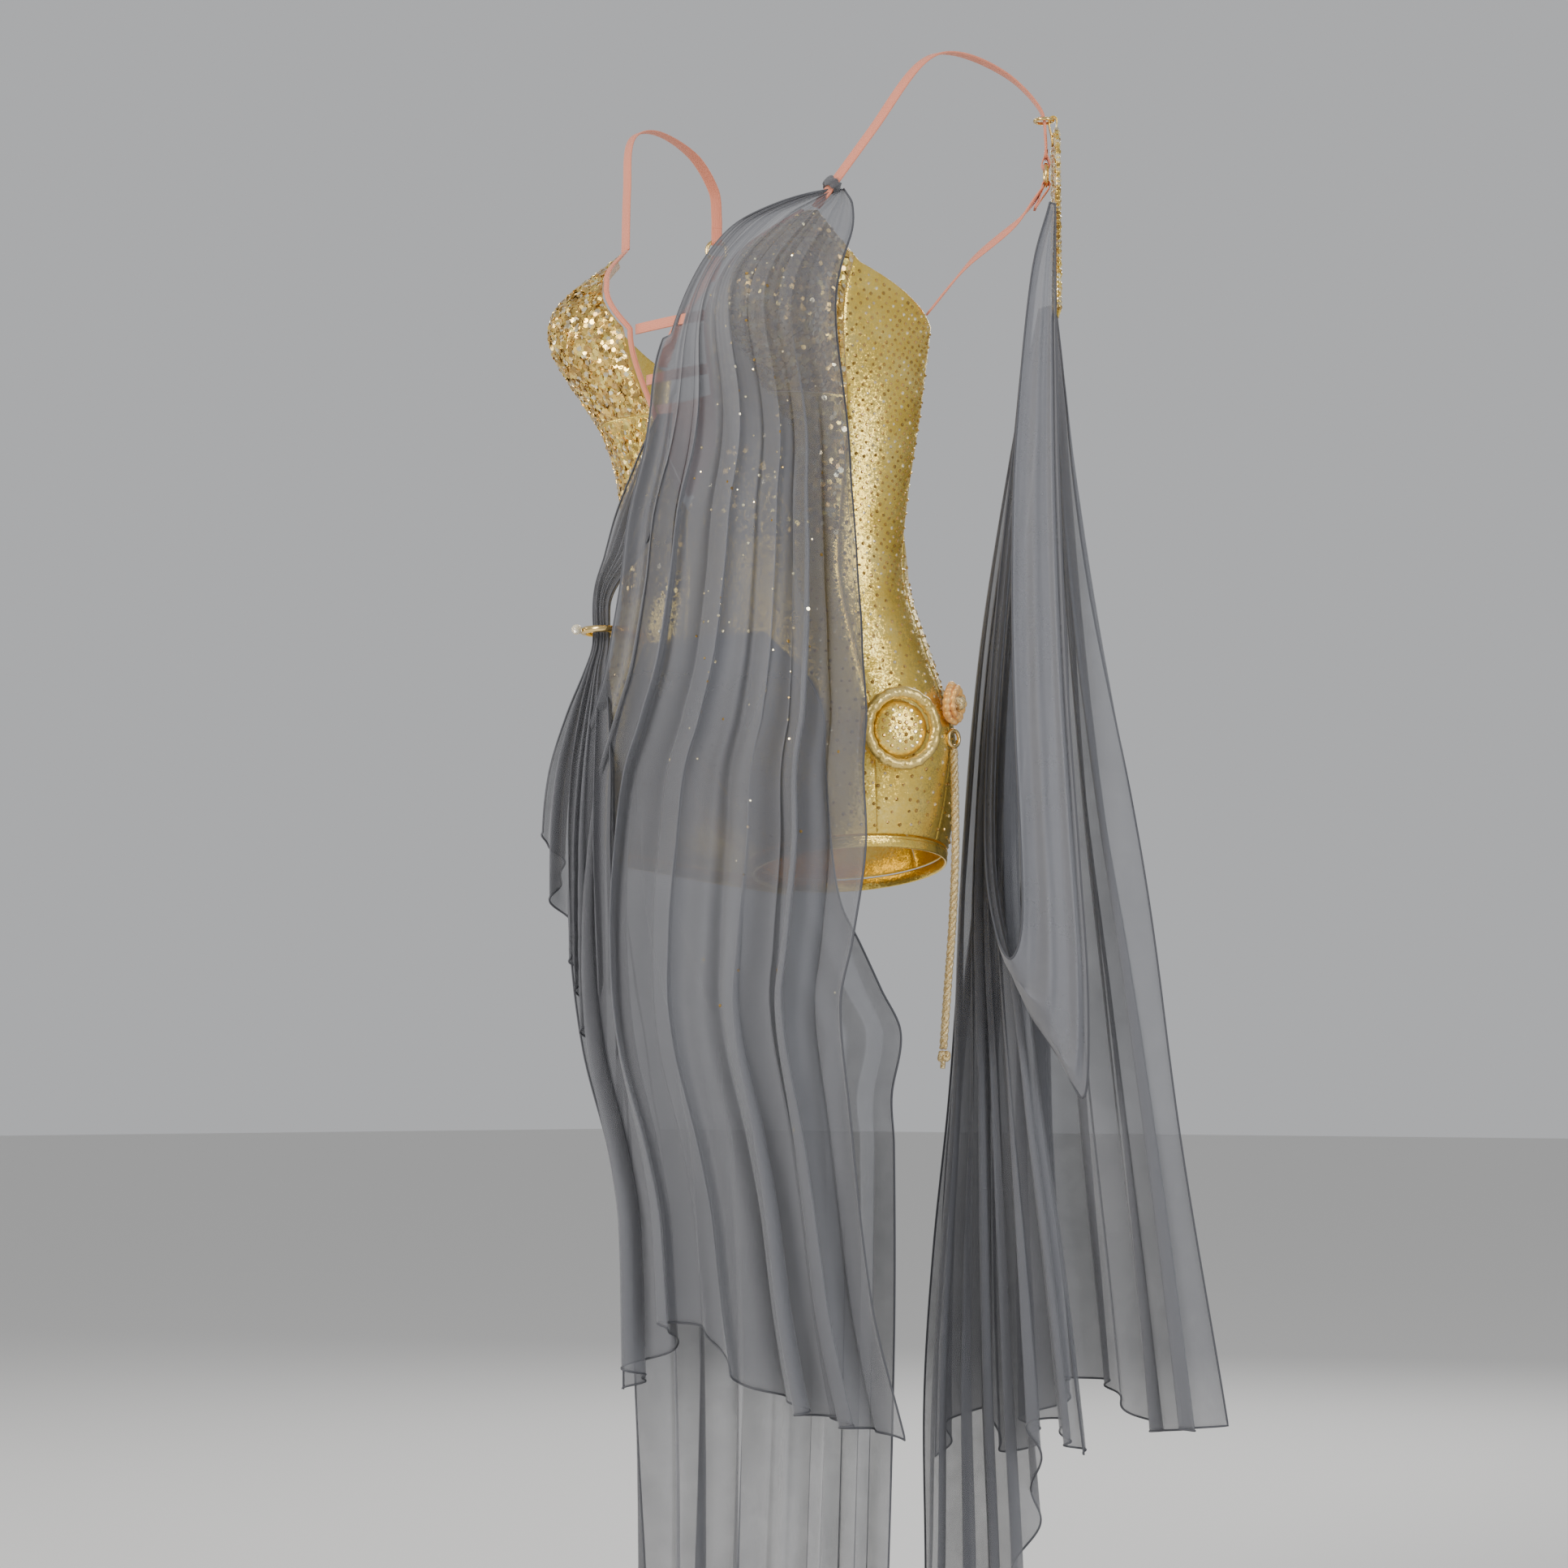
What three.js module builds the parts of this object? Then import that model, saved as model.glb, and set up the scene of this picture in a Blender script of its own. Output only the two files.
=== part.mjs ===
// Gold stretch bodysuit with a chiffon front drape, a hip cord and a shoulder cape.
// Millimetres, +Z up, the wearer faces -Y and the wearer's left is +X.
// The origin is midway between the two points where the straps cross the shoulders.
import * as THREE from 'three';

// ---- the worn form: the closed shape that the stretch panels follow ----
// Each station is one height of the body: half width, depth in front of and behind the
// section's own centre, how far that centre sits behind the torso axis, and where the
// centre of each leg is (0 while the two sides are still one).
const STATIONS = [
  { z: -70, half: 130, front: 70, back: 92, lean: 34, leg: 0 },
  { z: -130, half: 136, front: 80, back: 102, lean: 20, leg: 0 },
  { z: -210, half: 136, front: 88, back: 100, lean: 6, leg: 0 },
  { z: -275, half: 132, front: 86, back: 92, lean: 0, leg: 0 },
  { z: -340, half: 124, front: 85, back: 84, lean: -4, leg: 0 },
  { z: -395, half: 122, front: 83, back: 82, lean: -6, leg: 0 },
  { z: -450, half: 138, front: 88, back: 96, lean: -4, leg: 0 },
  { z: -510, half: 156, front: 92, back: 104, lean: 0, leg: 0 },
  { z: -560, half: 150, front: 86, back: 98, lean: 2, leg: 40 },
  { z: -600, half: 140, front: 76, back: 80, lean: 4, leg: 72 },
  { z: -650, half: 136, front: 70, back: 74, lean: 4, leg: 74 },
];
const TORSO_Y = -34;          // torso axis, in front of the shoulder line
const BUST = { angle: 36, spread: 28, z: -196, above: 62, below: 68, depth: 72 };

// ---- the sewn shell ----
const SHELL = 2;              // foil fabric with its lining
const SEAM_GAP = 0.8;         // clearance between neighbouring panels
const CUP_SEAM_Z = -268;      // under-bust seam
const FRONT_SEAM = 62;        // degrees round from the front centre
const BACK_SEAM = 104;
const NECK_TOP = { angle: 37, z: -128 };
const NECK_BOTTOM_Z = -335;
const BACK_DIP_Z = -452;      // lowest point of the open back
const BINDING = 5;            // width of the neckline binding
const HEM = { z: -600, side: 12, front: 4, band: 9 };
const PAD = { thick: 4, clearance: 1.6, margin: 9 };

// ---- elastic ----
const ELASTIC = { width: 9, thick: 1.6 };
const BAR = { height: 8, thick: 1.5, upperZ: -206, lowerZ: -244 };
const SHOULDER_X = 155;       // where each strap crosses the shoulder
const RING = { radius: 8, wire: 1.6 };
const STRAP_RING = new THREE.Vector3(171, 90, -78);

// ---- hip ring on the wearer's right ----
const HIP_RING = { angle: 32, z: -428, radius: 15, wire: 2.6, tabWall: 2, tabClearance: 1.2 };
const BEAD_RADIUS = 4;

// ---- hip ornament on the wearer's left ----
const DISC = { angle: 72, z: -513, radius: 31, thick: 7, rim: 5 };
const ROSETTE = { angle: 104, z: -490, radius: 17, thick: 13, core: 6 };
const CORD = { diameter: 6, knot: 5, knotLength: 15, endZ: -741 };
const KEEPER = { radius: 6, wire: 1.5 };

// ---- chiffon: plain slabs as deep as the folds of the cloth ----
const CHIFFON = { folds: 6, overBody: 17, underBody: 5, underFolds: 5 };
const BUNCH_CLEARANCE = 0.8;  // between the hip ring and the cloth drawn through it
const BUNCH_BOW = 4;          // how much the middle of that cloth bows away from the body
const FALL_Z = -530;          // below this the cloth leaves the body and hangs straight
const DRAPE_HEM_Z = -1050;
const UNDER_TOP_Z = -452;
const UNDER_HEM_Z = -1235;
const HIP_DRAPE_HEM_Z = -840;   // at its inner edge; the outer edge is much shorter
const HIP_DRAPE_SLOPE = 240;    // how much higher the hem is at the outer edge

// ---- shoulder cape ----
const CAPE_TURN = 42;         // degrees that the cape's outward direction is turned from +X
const CAPE_BAND = { fromStrap: 5, bottom: -188, width: 42, thick: 5 };
const CAPE_LOOP = { z: -36, radius: 6.8, wire: 1.4 };
const CAPE_LAYER = 8;         // depth of the folds in each hanging layer
const CAPE_HEM_Z = -1050;
const SWAG_HEM_Z = -770;
const TRAIN_HEM_Z = -1235;

const COLOURS = {
  gold: { color: 0xc89a3a, roughness: 0.32, metalness: 0.85 },
  foam: { color: 0xe8d9c4, roughness: 0.9, metalness: 0 },
  elastic: { color: 0xe2765a, roughness: 0.75, metalness: 0 },
  mesh: { color: 0xe0917a, roughness: 0.85, metalness: 0 },
  brass: { color: 0xc9a24a, roughness: 0.25, metalness: 1 },
  crystal: { color: 0xe8dcc0, roughness: 0.1, metalness: 0.2 },
  cord: { color: 0xc9a456, roughness: 0.5, metalness: 0.5 },
  chiffon: { color: 0x55555c, roughness: 0.8, metalness: 0 },
};

const uniform = new THREE.Group();
const radians = THREE.MathUtils.degToRad;
const lerp = THREE.MathUtils.lerp;

function addPiece(name, geometry, look) {
  const mesh = new THREE.Mesh(geometry, new THREE.MeshStandardMaterial(COLOURS[look]));
  mesh.name = name;
  uniform.add(mesh);
  return mesh;
}

// Piecewise straight value through [position, value] pairs, positions falling.
function along(pairs, position) {
  if (position >= pairs[0][0]) return pairs[0][1];
  for (let i = 1; i < pairs.length; i += 1) {
    const [from, a] = pairs[i - 1];
    const [to, b] = pairs[i];
    if (position >= to) return lerp(a, b, (from - position) / (from - to));
  }
  return pairs[pairs.length - 1][1];
}

// Smooth value of one station measure at a height (cubic through the stations).
function measure(key, z) {
  const last = STATIONS.length - 1;
  const height = Math.min(Math.max(z, STATIONS[last].z), STATIONS[0].z);
  let i = 0;
  while (i < last - 1 && height < STATIONS[i + 1].z) i += 1;
  const slope = (k) => {
    const a = STATIONS[Math.max(k - 1, 0)];
    const b = STATIONS[Math.min(k + 1, last)];
    return (b[key] - a[key]) / (a.z - b.z);
  };
  const span = STATIONS[i].z - STATIONS[i + 1].z;
  const t = (STATIONS[i].z - height) / span;
  const t2 = t * t;
  const t3 = t2 * t;
  return (2 * t3 - 3 * t2 + 1) * STATIONS[i][key] + (t3 - 2 * t2 + t) * span * slope(i)
    + (3 * t2 - 2 * t3) * STATIONS[i + 1][key] + (t3 - t2) * span * slope(i + 1);
}

// Distance of each leg's centre from the middle: it starts at 0 at the top of the legs.
function legCentre(z) {
  return Math.max(0, measure('leg', z));
}

// A point on the worn form. side is +1 on the wearer's left; the angle is 0 at the front
// centre, 90 at the outer side, 180 at the back and negative on the inner side of a leg.
function bodyPoint(side, angle, z, offset) {
  const leg = legCentre(z);
  const halfWidth = measure('half', z) - leg;
  const a = radians(angle);
  const depth = measure(Math.cos(a) > 0 ? 'front' : 'back', z);
  const normal = new THREE.Vector2(Math.sin(a) / halfWidth, -Math.cos(a) / depth).normalize();
  const rise = (z - BUST.z) / (z > BUST.z ? BUST.above : BUST.below);
  const turn = (angle - BUST.angle) / BUST.spread;
  const bust = BUST.depth * Math.exp(-turn * turn - rise * rise);
  const x = leg + halfWidth * Math.sin(a) + 0.3 * bust + normal.x * offset;
  const y = TORSO_Y + measure('lean', z) - depth * Math.cos(a) - 0.95 * bust + normal.y * offset;
  return new THREE.Vector3(side * x, y, z);
}

// Degrees of angle that a length takes up round the body at a height.
function anglesOf(length, z) {
  return THREE.MathUtils.radToDeg(length / (measure('half', z) - legCentre(z)));
}

// Closed solid between two faces of a grid. point(u, v, face) gives the grid's points with
// face 0 on the inside and 1 on the outside; a wrapped grid joins its last column to its first.
function gridSolid(columns, rows, point, wrapped = false) {
  const positions = [];
  const index = [];
  const width = wrapped ? columns : columns + 1;
  for (let face = 0; face < 2; face += 1) {
    for (let j = 0; j <= rows; j += 1) {
      for (let i = 0; i < width; i += 1) {
        positions.push(...point(i / columns, j / rows, face).toArray());
      }
    }
  }
  const at = (i, j, face) => face * width * (rows + 1) + j * width + (i % width);
  const quad = (a, b, c, d) => index.push(a, b, c, a, c, d);
  for (let j = 0; j < rows; j += 1) {
    for (let i = 0; i < columns; i += 1) {
      quad(at(i, j, 1), at(i + 1, j, 1), at(i + 1, j + 1, 1), at(i, j + 1, 1));
      quad(at(i, j, 0), at(i, j + 1, 0), at(i + 1, j + 1, 0), at(i + 1, j, 0));
    }
  }
  for (let i = 0; i < columns; i += 1) {
    quad(at(i, 0, 0), at(i + 1, 0, 0), at(i + 1, 0, 1), at(i, 0, 1));
    quad(at(i, rows, 0), at(i, rows, 1), at(i + 1, rows, 1), at(i + 1, rows, 0));
  }
  for (let j = 0; j < rows && !wrapped; j += 1) {
    quad(at(0, j, 0), at(0, j, 1), at(0, j + 1, 1), at(0, j + 1, 0));
    quad(at(columns, j, 0), at(columns, j + 1, 0), at(columns, j + 1, 1), at(columns, j, 1));
  }
  const geometry = new THREE.BufferGeometry();
  geometry.setAttribute('position', new THREE.Float32BufferAttribute(positions, 3));
  geometry.setIndex(index);
  return facingOut(geometry);
}

// Turns the faces round when the solid was wound inside out.
function facingOut(geometry) {
  const position = geometry.getAttribute('position');
  const index = geometry.getIndex();
  const [a, b, c] = [new THREE.Vector3(), new THREE.Vector3(), new THREE.Vector3()];
  let volume = 0;
  for (let i = 0; i < index.count; i += 3) {
    a.fromBufferAttribute(position, index.getX(i));
    b.fromBufferAttribute(position, index.getX(i + 1));
    c.fromBufferAttribute(position, index.getX(i + 2));
    volume += a.dot(b.cross(c));
  }
  if (volume < 0) index.array.reverse();
  return geometry;
}

// A panel of the shell: the columns run round the body, the rows up it.
function panel(side, columns, rows, place, inner = 0, outer = SHELL) {
  return gridSolid(columns, rows, (u, v, face) => {
    const { angle, z } = place(u, v);
    return bodyPoint(side, angle, z, face ? outer : inner);
  });
}

// Edge of the V neckline: it closes to the front centre below its lowest point.
function neckAngle(z) {
  const edge = [
    [NECK_TOP.z, NECK_TOP.angle], [-165, 22], [-205, 11], [-250, 11], [-300, 9.5],
    [NECK_BOTTOM_Z + 13, 4], [NECK_BOTTOM_Z, 0.6], [NECK_BOTTOM_Z - 15, -5],
  ];
  return along(edge, z);
}

function frontEdge(z) {
  const besideBinding = neckAngle(z) + anglesOf(BINDING + SEAM_GAP, z);
  return Math.max(besideBinding, anglesOf(SEAM_GAP / 2, z));
}

// Top edge of the cups and side panels, falling from the strap towards the back.
function topEdge(angle) {
  const edge = [
    [-NECK_TOP.angle - 6, NECK_TOP.z], [-64, -170], [-95, -196], [-BACK_SEAM, -206],
  ];
  return along(edge, -angle);
}

// Top edge of the back panels: the back is bare down to the waist.
function backEdge(angle) {
  const t = (angle - BACK_SEAM) / (180 - BACK_SEAM);
  return lerp(-362, BACK_DIP_Z, Math.sin(t * Math.PI / 2));
}

function hemEdge(angle) {
  return HEM.z + HEM.side * Math.sin(radians(angle)) + HEM.front * Math.cos(radians(angle));
}

// Rows of a panel: its hem, the shared heights that lie inside it, then its top edge.
const LEG_HEIGHTS = [-580, -570, -560, -550, -540, -530, -520];
const SHARED_HEIGHTS = [...LEG_HEIGHTS, -510, -480, -450, -420, -395, -368, -350, -335, -322, -300, -285];

function panelRows(topZ, topOf) {
  const inside = SHARED_HEIGHTS.filter((z) => z < topZ - 5);
  const rows = inside.length + 1;
  const heightOf = (v, angle) => {
    const k = Math.round(v * rows);
    if (k === 0) return hemEdge(angle);
    return k === rows ? topOf(angle) : inside[k - 1];
  };
  return { rows, heightOf };
}

// ---- bodysuit ----
function cupPlace(u, v, bottom, inset) {
  let angle = FRONT_SEAM * u;
  let z = bottom;
  for (let pass = 0; pass < 12; pass += 1) {
    z = lerp(bottom, topEdge(angle) - inset, v);
    const start = frontEdge(z) + anglesOf(inset, z);
    const end = FRONT_SEAM - anglesOf(SEAM_GAP / 2 + inset, z);
    angle = lerp(start, end, u);
  }
  return { angle, z };
}

function addCup(side, hand) {
  const bottom = CUP_SEAM_Z + SEAM_GAP / 2;
  addPiece(`${hand}_cup_shell`, panel(side, 8, 8, (u, v) => cupPlace(u, v, bottom, 0)), 'gold');
  const padOuter = -PAD.clearance;
  addPiece(`${hand}_cup_pad`, panel(side, 6, 6, (u, v) => (
    cupPlace(u, v, bottom + PAD.margin, PAD.margin)
  ), padOuter - PAD.thick, padOuter), 'foam');
}

function addFrontPanel(side, hand) {
  const top = CUP_SEAM_Z - SEAM_GAP / 2;
  const { rows, heightOf } = panelRows(top, () => top);
  addPiece(`${hand}_front_panel`, panel(side, 5, rows, (u, v) => {
    const z = heightOf(v, FRONT_SEAM * u);
    const end = FRONT_SEAM - anglesOf(SEAM_GAP / 2, z);
    const angle = lerp(frontEdge(z), end, u);
    return { angle, z: heightOf(v, angle) };
  }), 'gold');
}

function addSidePanel(side, hand) {
  const top = topEdge(BACK_SEAM);
  const { rows, heightOf } = panelRows(CUP_SEAM_Z, () => CUP_SEAM_Z);
  const above = 3;
  addPiece(`${hand}_side_panel`, panel(side, 4, rows + above, (u, v) => {
    const k = Math.round(v * (rows + above));
    const start = FRONT_SEAM + anglesOf(SEAM_GAP / 2, top);
    const end = BACK_SEAM - anglesOf(SEAM_GAP / 2, top);
    const angle = lerp(start, end, u);
    const z = k <= rows ? heightOf(k / rows, angle)
      : lerp(CUP_SEAM_Z, topEdge(angle), (k - rows) / above);
    return { angle, z };
  }), 'gold');
}

function addBackPanel(side, hand) {
  const { rows, heightOf } = panelRows(BACK_DIP_Z, backEdge);
  addPiece(`${hand}_back_panel`, panel(side, 6, rows, (u, v) => {
    const start = BACK_SEAM + anglesOf(SEAM_GAP / 2, BUST.z);
    const end = 180 - anglesOf(SEAM_GAP / 2, CUP_SEAM_Z);
    const angle = lerp(start, end, u);
    return { angle, z: heightOf(v, angle) };
  }), 'gold');
}

const LEG_TOP_Z = -512;

// Height at which the inner side of a leg meets the other leg at the middle.
function crotchHeight(angle) {
  let high = STATIONS.findLast((station) => station.leg === 0).z;
  let low = STATIONS[STATIONS.length - 1].z;
  for (let pass = 0; pass < 30; pass += 1) {
    const z = (high + low) / 2;
    if (bodyPoint(1, angle, z, SHELL).x > SEAM_GAP / 2) low = z;
    else high = z;
  }
  return low;
}

function addInnerLegPanel(side, hand) {
  const rows = LEG_HEIGHTS.length + 1;
  addPiece(`${hand}_inner_leg_panel`, panel(side, 10, rows, (u, v) => {
    const edge = anglesOf(SEAM_GAP / 2, HEM.z);
    const angle = lerp(-edge, -180 + edge, u);
    const k = Math.round(v * rows);
    const bottom = hemEdge(angle);
    const reach = (crotchHeight(angle) - bottom) / (LEG_TOP_Z - bottom);
    const full = k === 0 ? bottom : (LEG_HEIGHTS[k - 1] ?? LEG_TOP_Z);
    return { angle, z: lerp(bottom, full, reach) };
  }), 'gold');
}

function addLegHemBand(side, hand) {
  addPiece(`${hand}_leg_hem_band`, gridSolid(28, 1, (u, v, face) => {
    const angle = 360 * u - 180;
    const z = hemEdge(angle) - SEAM_GAP - HEM.band * (1 - v);
    return bodyPoint(side, angle, z, face ? SHELL : 0);
  }, true), 'gold');
}

function addNecklineBinding(side, hand) {
  const heights = [NECK_BOTTOM_Z, -322, -300, -275, -250, -228, -205, -185, -165, -146, NECK_TOP.z];
  const rows = heights.length - 1;
  addPiece(`${hand}_neckline_binding`, panel(side, 1, rows, (u, v) => {
    const z = heights[Math.round(v * rows)];
    return { angle: neckAngle(z) + u * anglesOf(BINDING, z), z };
  }, 0, SHELL), 'elastic');
}

for (const [side, hand] of [[1, 'left'], [-1, 'right']]) {
  addCup(side, hand);
  addFrontPanel(side, hand);
  addSidePanel(side, hand);
  addBackPanel(side, hand);
  addInnerLegPanel(side, hand);
  addLegHemBand(side, hand);
  addNecklineBinding(side, hand);
}

// ---- nude mesh insert and the two elastic bars across the neckline ----
function addMeshInsert() {
  const heights = [NECK_BOTTOM_Z + 9, -322, -300, -284, -262];
  const rows = heights.length - 1;
  addPiece('neckline_mesh_insert', gridSolid(4, rows, (u, v, face) => {
    const z = heights[Math.round(v * rows)];
    const edge = neckAngle(z) - anglesOf(SEAM_GAP, z);
    const angle = lerp(-edge, edge, u);
    const side = Math.sign(angle) || 1;
    return bodyPoint(side, Math.abs(angle), z, face ? 1 : 0);
  }), 'mesh');
}

function addBridgeBar(name, height) {
  const edge = bodyPoint(1, neckAngle(height), height, 0);
  const reach = Math.min(...[-1, 0, 1].map((k) => {
    const z = height + k * BAR.height / 2;
    return bodyPoint(1, neckAngle(z), z, 0).x;
  })) - SEAM_GAP;
  const bar = new THREE.BoxGeometry(2 * reach, BAR.thick, BAR.height);
  addPiece(name, bar, 'elastic').position.set(0, edge.y - BAR.thick / 2, height);
}

addMeshInsert();
addBridgeBar('upper_bridge_bar', BAR.upperZ);
addBridgeBar('lower_bridge_bar', BAR.lowerZ);

// ---- shoulder straps ----
// Behind the shoulder the strap lies in the plane of the cape's band: outwardX points away
// from the body there and alongX runs along the band's width.
const outwardX = new THREE.Vector3(Math.cos(radians(CAPE_TURN)), Math.sin(radians(CAPE_TURN)), 0);
const alongX = new THREE.Vector3(-outwardX.y, outwardX.x, 0);

// Flat band along a curve. across(t) is the direction of the band's width at t.
function bandSolid(curve, steps, width, thick, across) {
  return gridSolid(1, steps, (u, v, face) => {
    const tangent = curve.getTangentAt(v);
    const wide = across(v).clone();
    wide.addScaledVector(tangent, -wide.dot(tangent)).normalize();
    const flat = new THREE.Vector3().crossVectors(tangent, wide);
    return curve.getPointAt(v)
      .addScaledVector(wide, width * (u - 0.5))
      .addScaledVector(flat, thick * (face - 0.5));
  });
}

function mirrored(side, x, y, z) {
  return new THREE.Vector3(side * x, y, z);
}

function addStraps(side, hand) {
  const cupTop = bodyPoint(side, NECK_TOP.angle + 4.5, NECK_TOP.z, SHELL / 2);
  const front = new THREE.CatmullRomCurve3([
    cupTop.clone().add(new THREE.Vector3(side * 1, 2, SEAM_GAP + 1)),
    mirrored(side, lerp(Math.abs(cupTop.x), SHOULDER_X, 0.5), lerp(cupTop.y, -30, 0.5), -68),
    mirrored(side, SHOULDER_X - 6, -34, -16),
    mirrored(side, SHOULDER_X, 0, -ELASTIC.thick / 2),
    mirrored(side, SHOULDER_X + 8, 52, -7),
    mirrored(side, STRAP_RING.x - 1, STRAP_RING.y - 5, -28),
    mirrored(side, STRAP_RING.x, STRAP_RING.y, -50),
    mirrored(side, STRAP_RING.x, STRAP_RING.y, STRAP_RING.z + RING.radius + RING.wire + 0.6),
  ], false, 'centripetal');
  const overShoulder = new THREE.Vector3(side, 0.15, 0);
  const behindShoulder = mirrored(side, -alongX.x, -alongX.y, 0);
  addPiece(`${hand}_front_strap`, bandSolid(front, 18, ELASTIC.width, ELASTIC.thick, (t) => (
    overShoulder.clone().lerp(behindShoulder, THREE.MathUtils.smoothstep(t, 0.55, 0.8))
  )), 'elastic');

  const ring = new THREE.TorusGeometry(RING.radius, RING.wire, 8, 16);
  const ringMesh = addPiece(`${hand}_strap_ring`, ring, 'brass');
  ringMesh.position.set(side * STRAP_RING.x, STRAP_RING.y, STRAP_RING.z);
  ringMesh.quaternion.setFromUnitVectors(new THREE.Vector3(0, 0, 1), mirrored(side, outwardX.x, outwardX.y, 0));

  const sideTop = bodyPoint(side, BACK_SEAM - 6, topEdge(BACK_SEAM - 6), SHELL / 2);
  const back = new THREE.CatmullRomCurve3([
    mirrored(side, STRAP_RING.x - 1, STRAP_RING.y - 3, STRAP_RING.z - RING.radius - RING.wire - 0.6),
    mirrored(side, STRAP_RING.x - 7, STRAP_RING.y - 27, -118),
    mirrored(side, lerp(sideTop.x * side, STRAP_RING.x, 0.4), lerp(sideTop.y, 57, 0.5), -156),
    sideTop.clone().add(new THREE.Vector3(side * 0.5, 2.5, SEAM_GAP + 1.6)),
  ], false, 'centripetal');
  addPiece(`${hand}_back_strap`, bandSolid(back, 8, ELASTIC.width, ELASTIC.thick,
    () => new THREE.Vector3(0, 0.8, 0.75)), 'elastic');
  return front;
}

const leftStrap = addStraps(1, 'left');
addStraps(-1, 'right');

// ---- hip ring, its tab and its bead, on the wearer's right ----
// The ring lies level in a loop of the tab, just clear of the front panel. In the group,
// +Y points straight out from the body and the tab is at the ring's inner side.
const TAB_RADIUS = HIP_RING.wire + HIP_RING.tabClearance + HIP_RING.tabWall;
const HIP_RING_STANDOFF = SHELL + SEAM_GAP + TAB_RADIUS + HIP_RING.radius;

function hipRingGroup() {
  const base = bodyPoint(-1, HIP_RING.angle, HIP_RING.z, 0);
  const outward = bodyPoint(-1, HIP_RING.angle, HIP_RING.z, 1).sub(base);
  const group = new THREE.Group();
  group.position.copy(base).addScaledVector(outward, HIP_RING_STANDOFF);
  group.rotation.z = Math.atan2(outward.y, outward.x) - Math.PI / 2;
  uniform.add(group);
  return group;
}

function addHipRing() {
  const group = hipRingGroup();
  const ring = new THREE.TorusGeometry(HIP_RING.radius, HIP_RING.wire, 8, 24);
  group.add(addPiece('hip_ring', ring, 'brass'));
  const tab = new THREE.Shape();
  const hole = new THREE.Path();
  tab.absarc(0, 0, TAB_RADIUS, 0, Math.PI * 2);
  hole.absarc(0, 0, HIP_RING.wire + HIP_RING.tabClearance, 0, Math.PI * 2, true);
  tab.holes.push(hole);
  const loop = new THREE.ExtrudeGeometry(tab, { depth: 6, bevelEnabled: false, curveSegments: 10 });
  loop.rotateY(Math.PI / 2).translate(-3, 0, 0);
  const tabMesh = addPiece('hip_ring_tab', loop, 'gold');
  tabMesh.position.y = -HIP_RING.radius;
  group.add(tabMesh);
  const bead = new THREE.SphereGeometry(BEAD_RADIUS, 12, 8);
  const beadMesh = addPiece('hip_ring_bead', bead, 'crystal');
  beadMesh.position.y = HIP_RING.radius + HIP_RING.wire + BEAD_RADIUS + 0.4;
  group.add(beadMesh);
}

addHipRing();

// ---- padded disc and rosette on the wearer's left hip ----
function outwardGroup(angle, z, standoff) {
  const group = new THREE.Group();
  const base = bodyPoint(1, angle, z, 0);
  const outward = bodyPoint(1, angle, z, 1).sub(base).normalize();
  group.position.copy(base).addScaledVector(outward, standoff);
  group.quaternion.setFromUnitVectors(new THREE.Vector3(0, 0, 1), outward);
  uniform.add(group);
  return group;
}

function lathe(points, segments) {
  const profile = points.map(([r, h]) => new THREE.Vector2(r, h));
  const solid = new THREE.LatheGeometry(profile, segments);
  return solid.rotateX(Math.PI / 2);
}

function addHipDisc() {
  const group = outwardGroup(DISC.angle, DISC.z, SHELL + 2.6);
  const pad = DISC.radius - 2 * DISC.rim - 0.4;
  group.add(addPiece('hip_disc_pad', lathe([
    [0, 0], [pad, 0], [pad, 2], [pad * 0.8, DISC.thick - 1.5], [pad * 0.4, DISC.thick], [0, DISC.thick],
  ], 20), 'gold'));
  const rim = new THREE.TorusGeometry(DISC.radius - DISC.rim, DISC.rim, 8, 24);
  rim.translate(0, 0, DISC.rim);
  group.add(addPiece('hip_disc_rim', rim, 'gold'));
}

function addRosette() {
  const group = outwardGroup(ROSETTE.angle, ROSETTE.z, SHELL + 3);
  const hole = ROSETTE.core + 0.5;
  group.add(addPiece('hip_rosette', lathe([
    [hole, 0], [ROSETTE.radius * 0.8, 0], [ROSETTE.radius, 4], [ROSETTE.radius * 0.85, 9],
    [hole + 2, ROSETTE.thick], [hole, 8], [hole, 0],
  ], 16), 'gold'));
  group.add(addPiece('rosette_knot', lathe([
    [0, 0], [ROSETTE.core, 0], [ROSETTE.core, 8], [ROSETTE.core * 0.7, ROSETTE.thick], [0, ROSETTE.thick + 1.5],
  ], 12), 'cord'));
}

addHipDisc();
addRosette();

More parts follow.
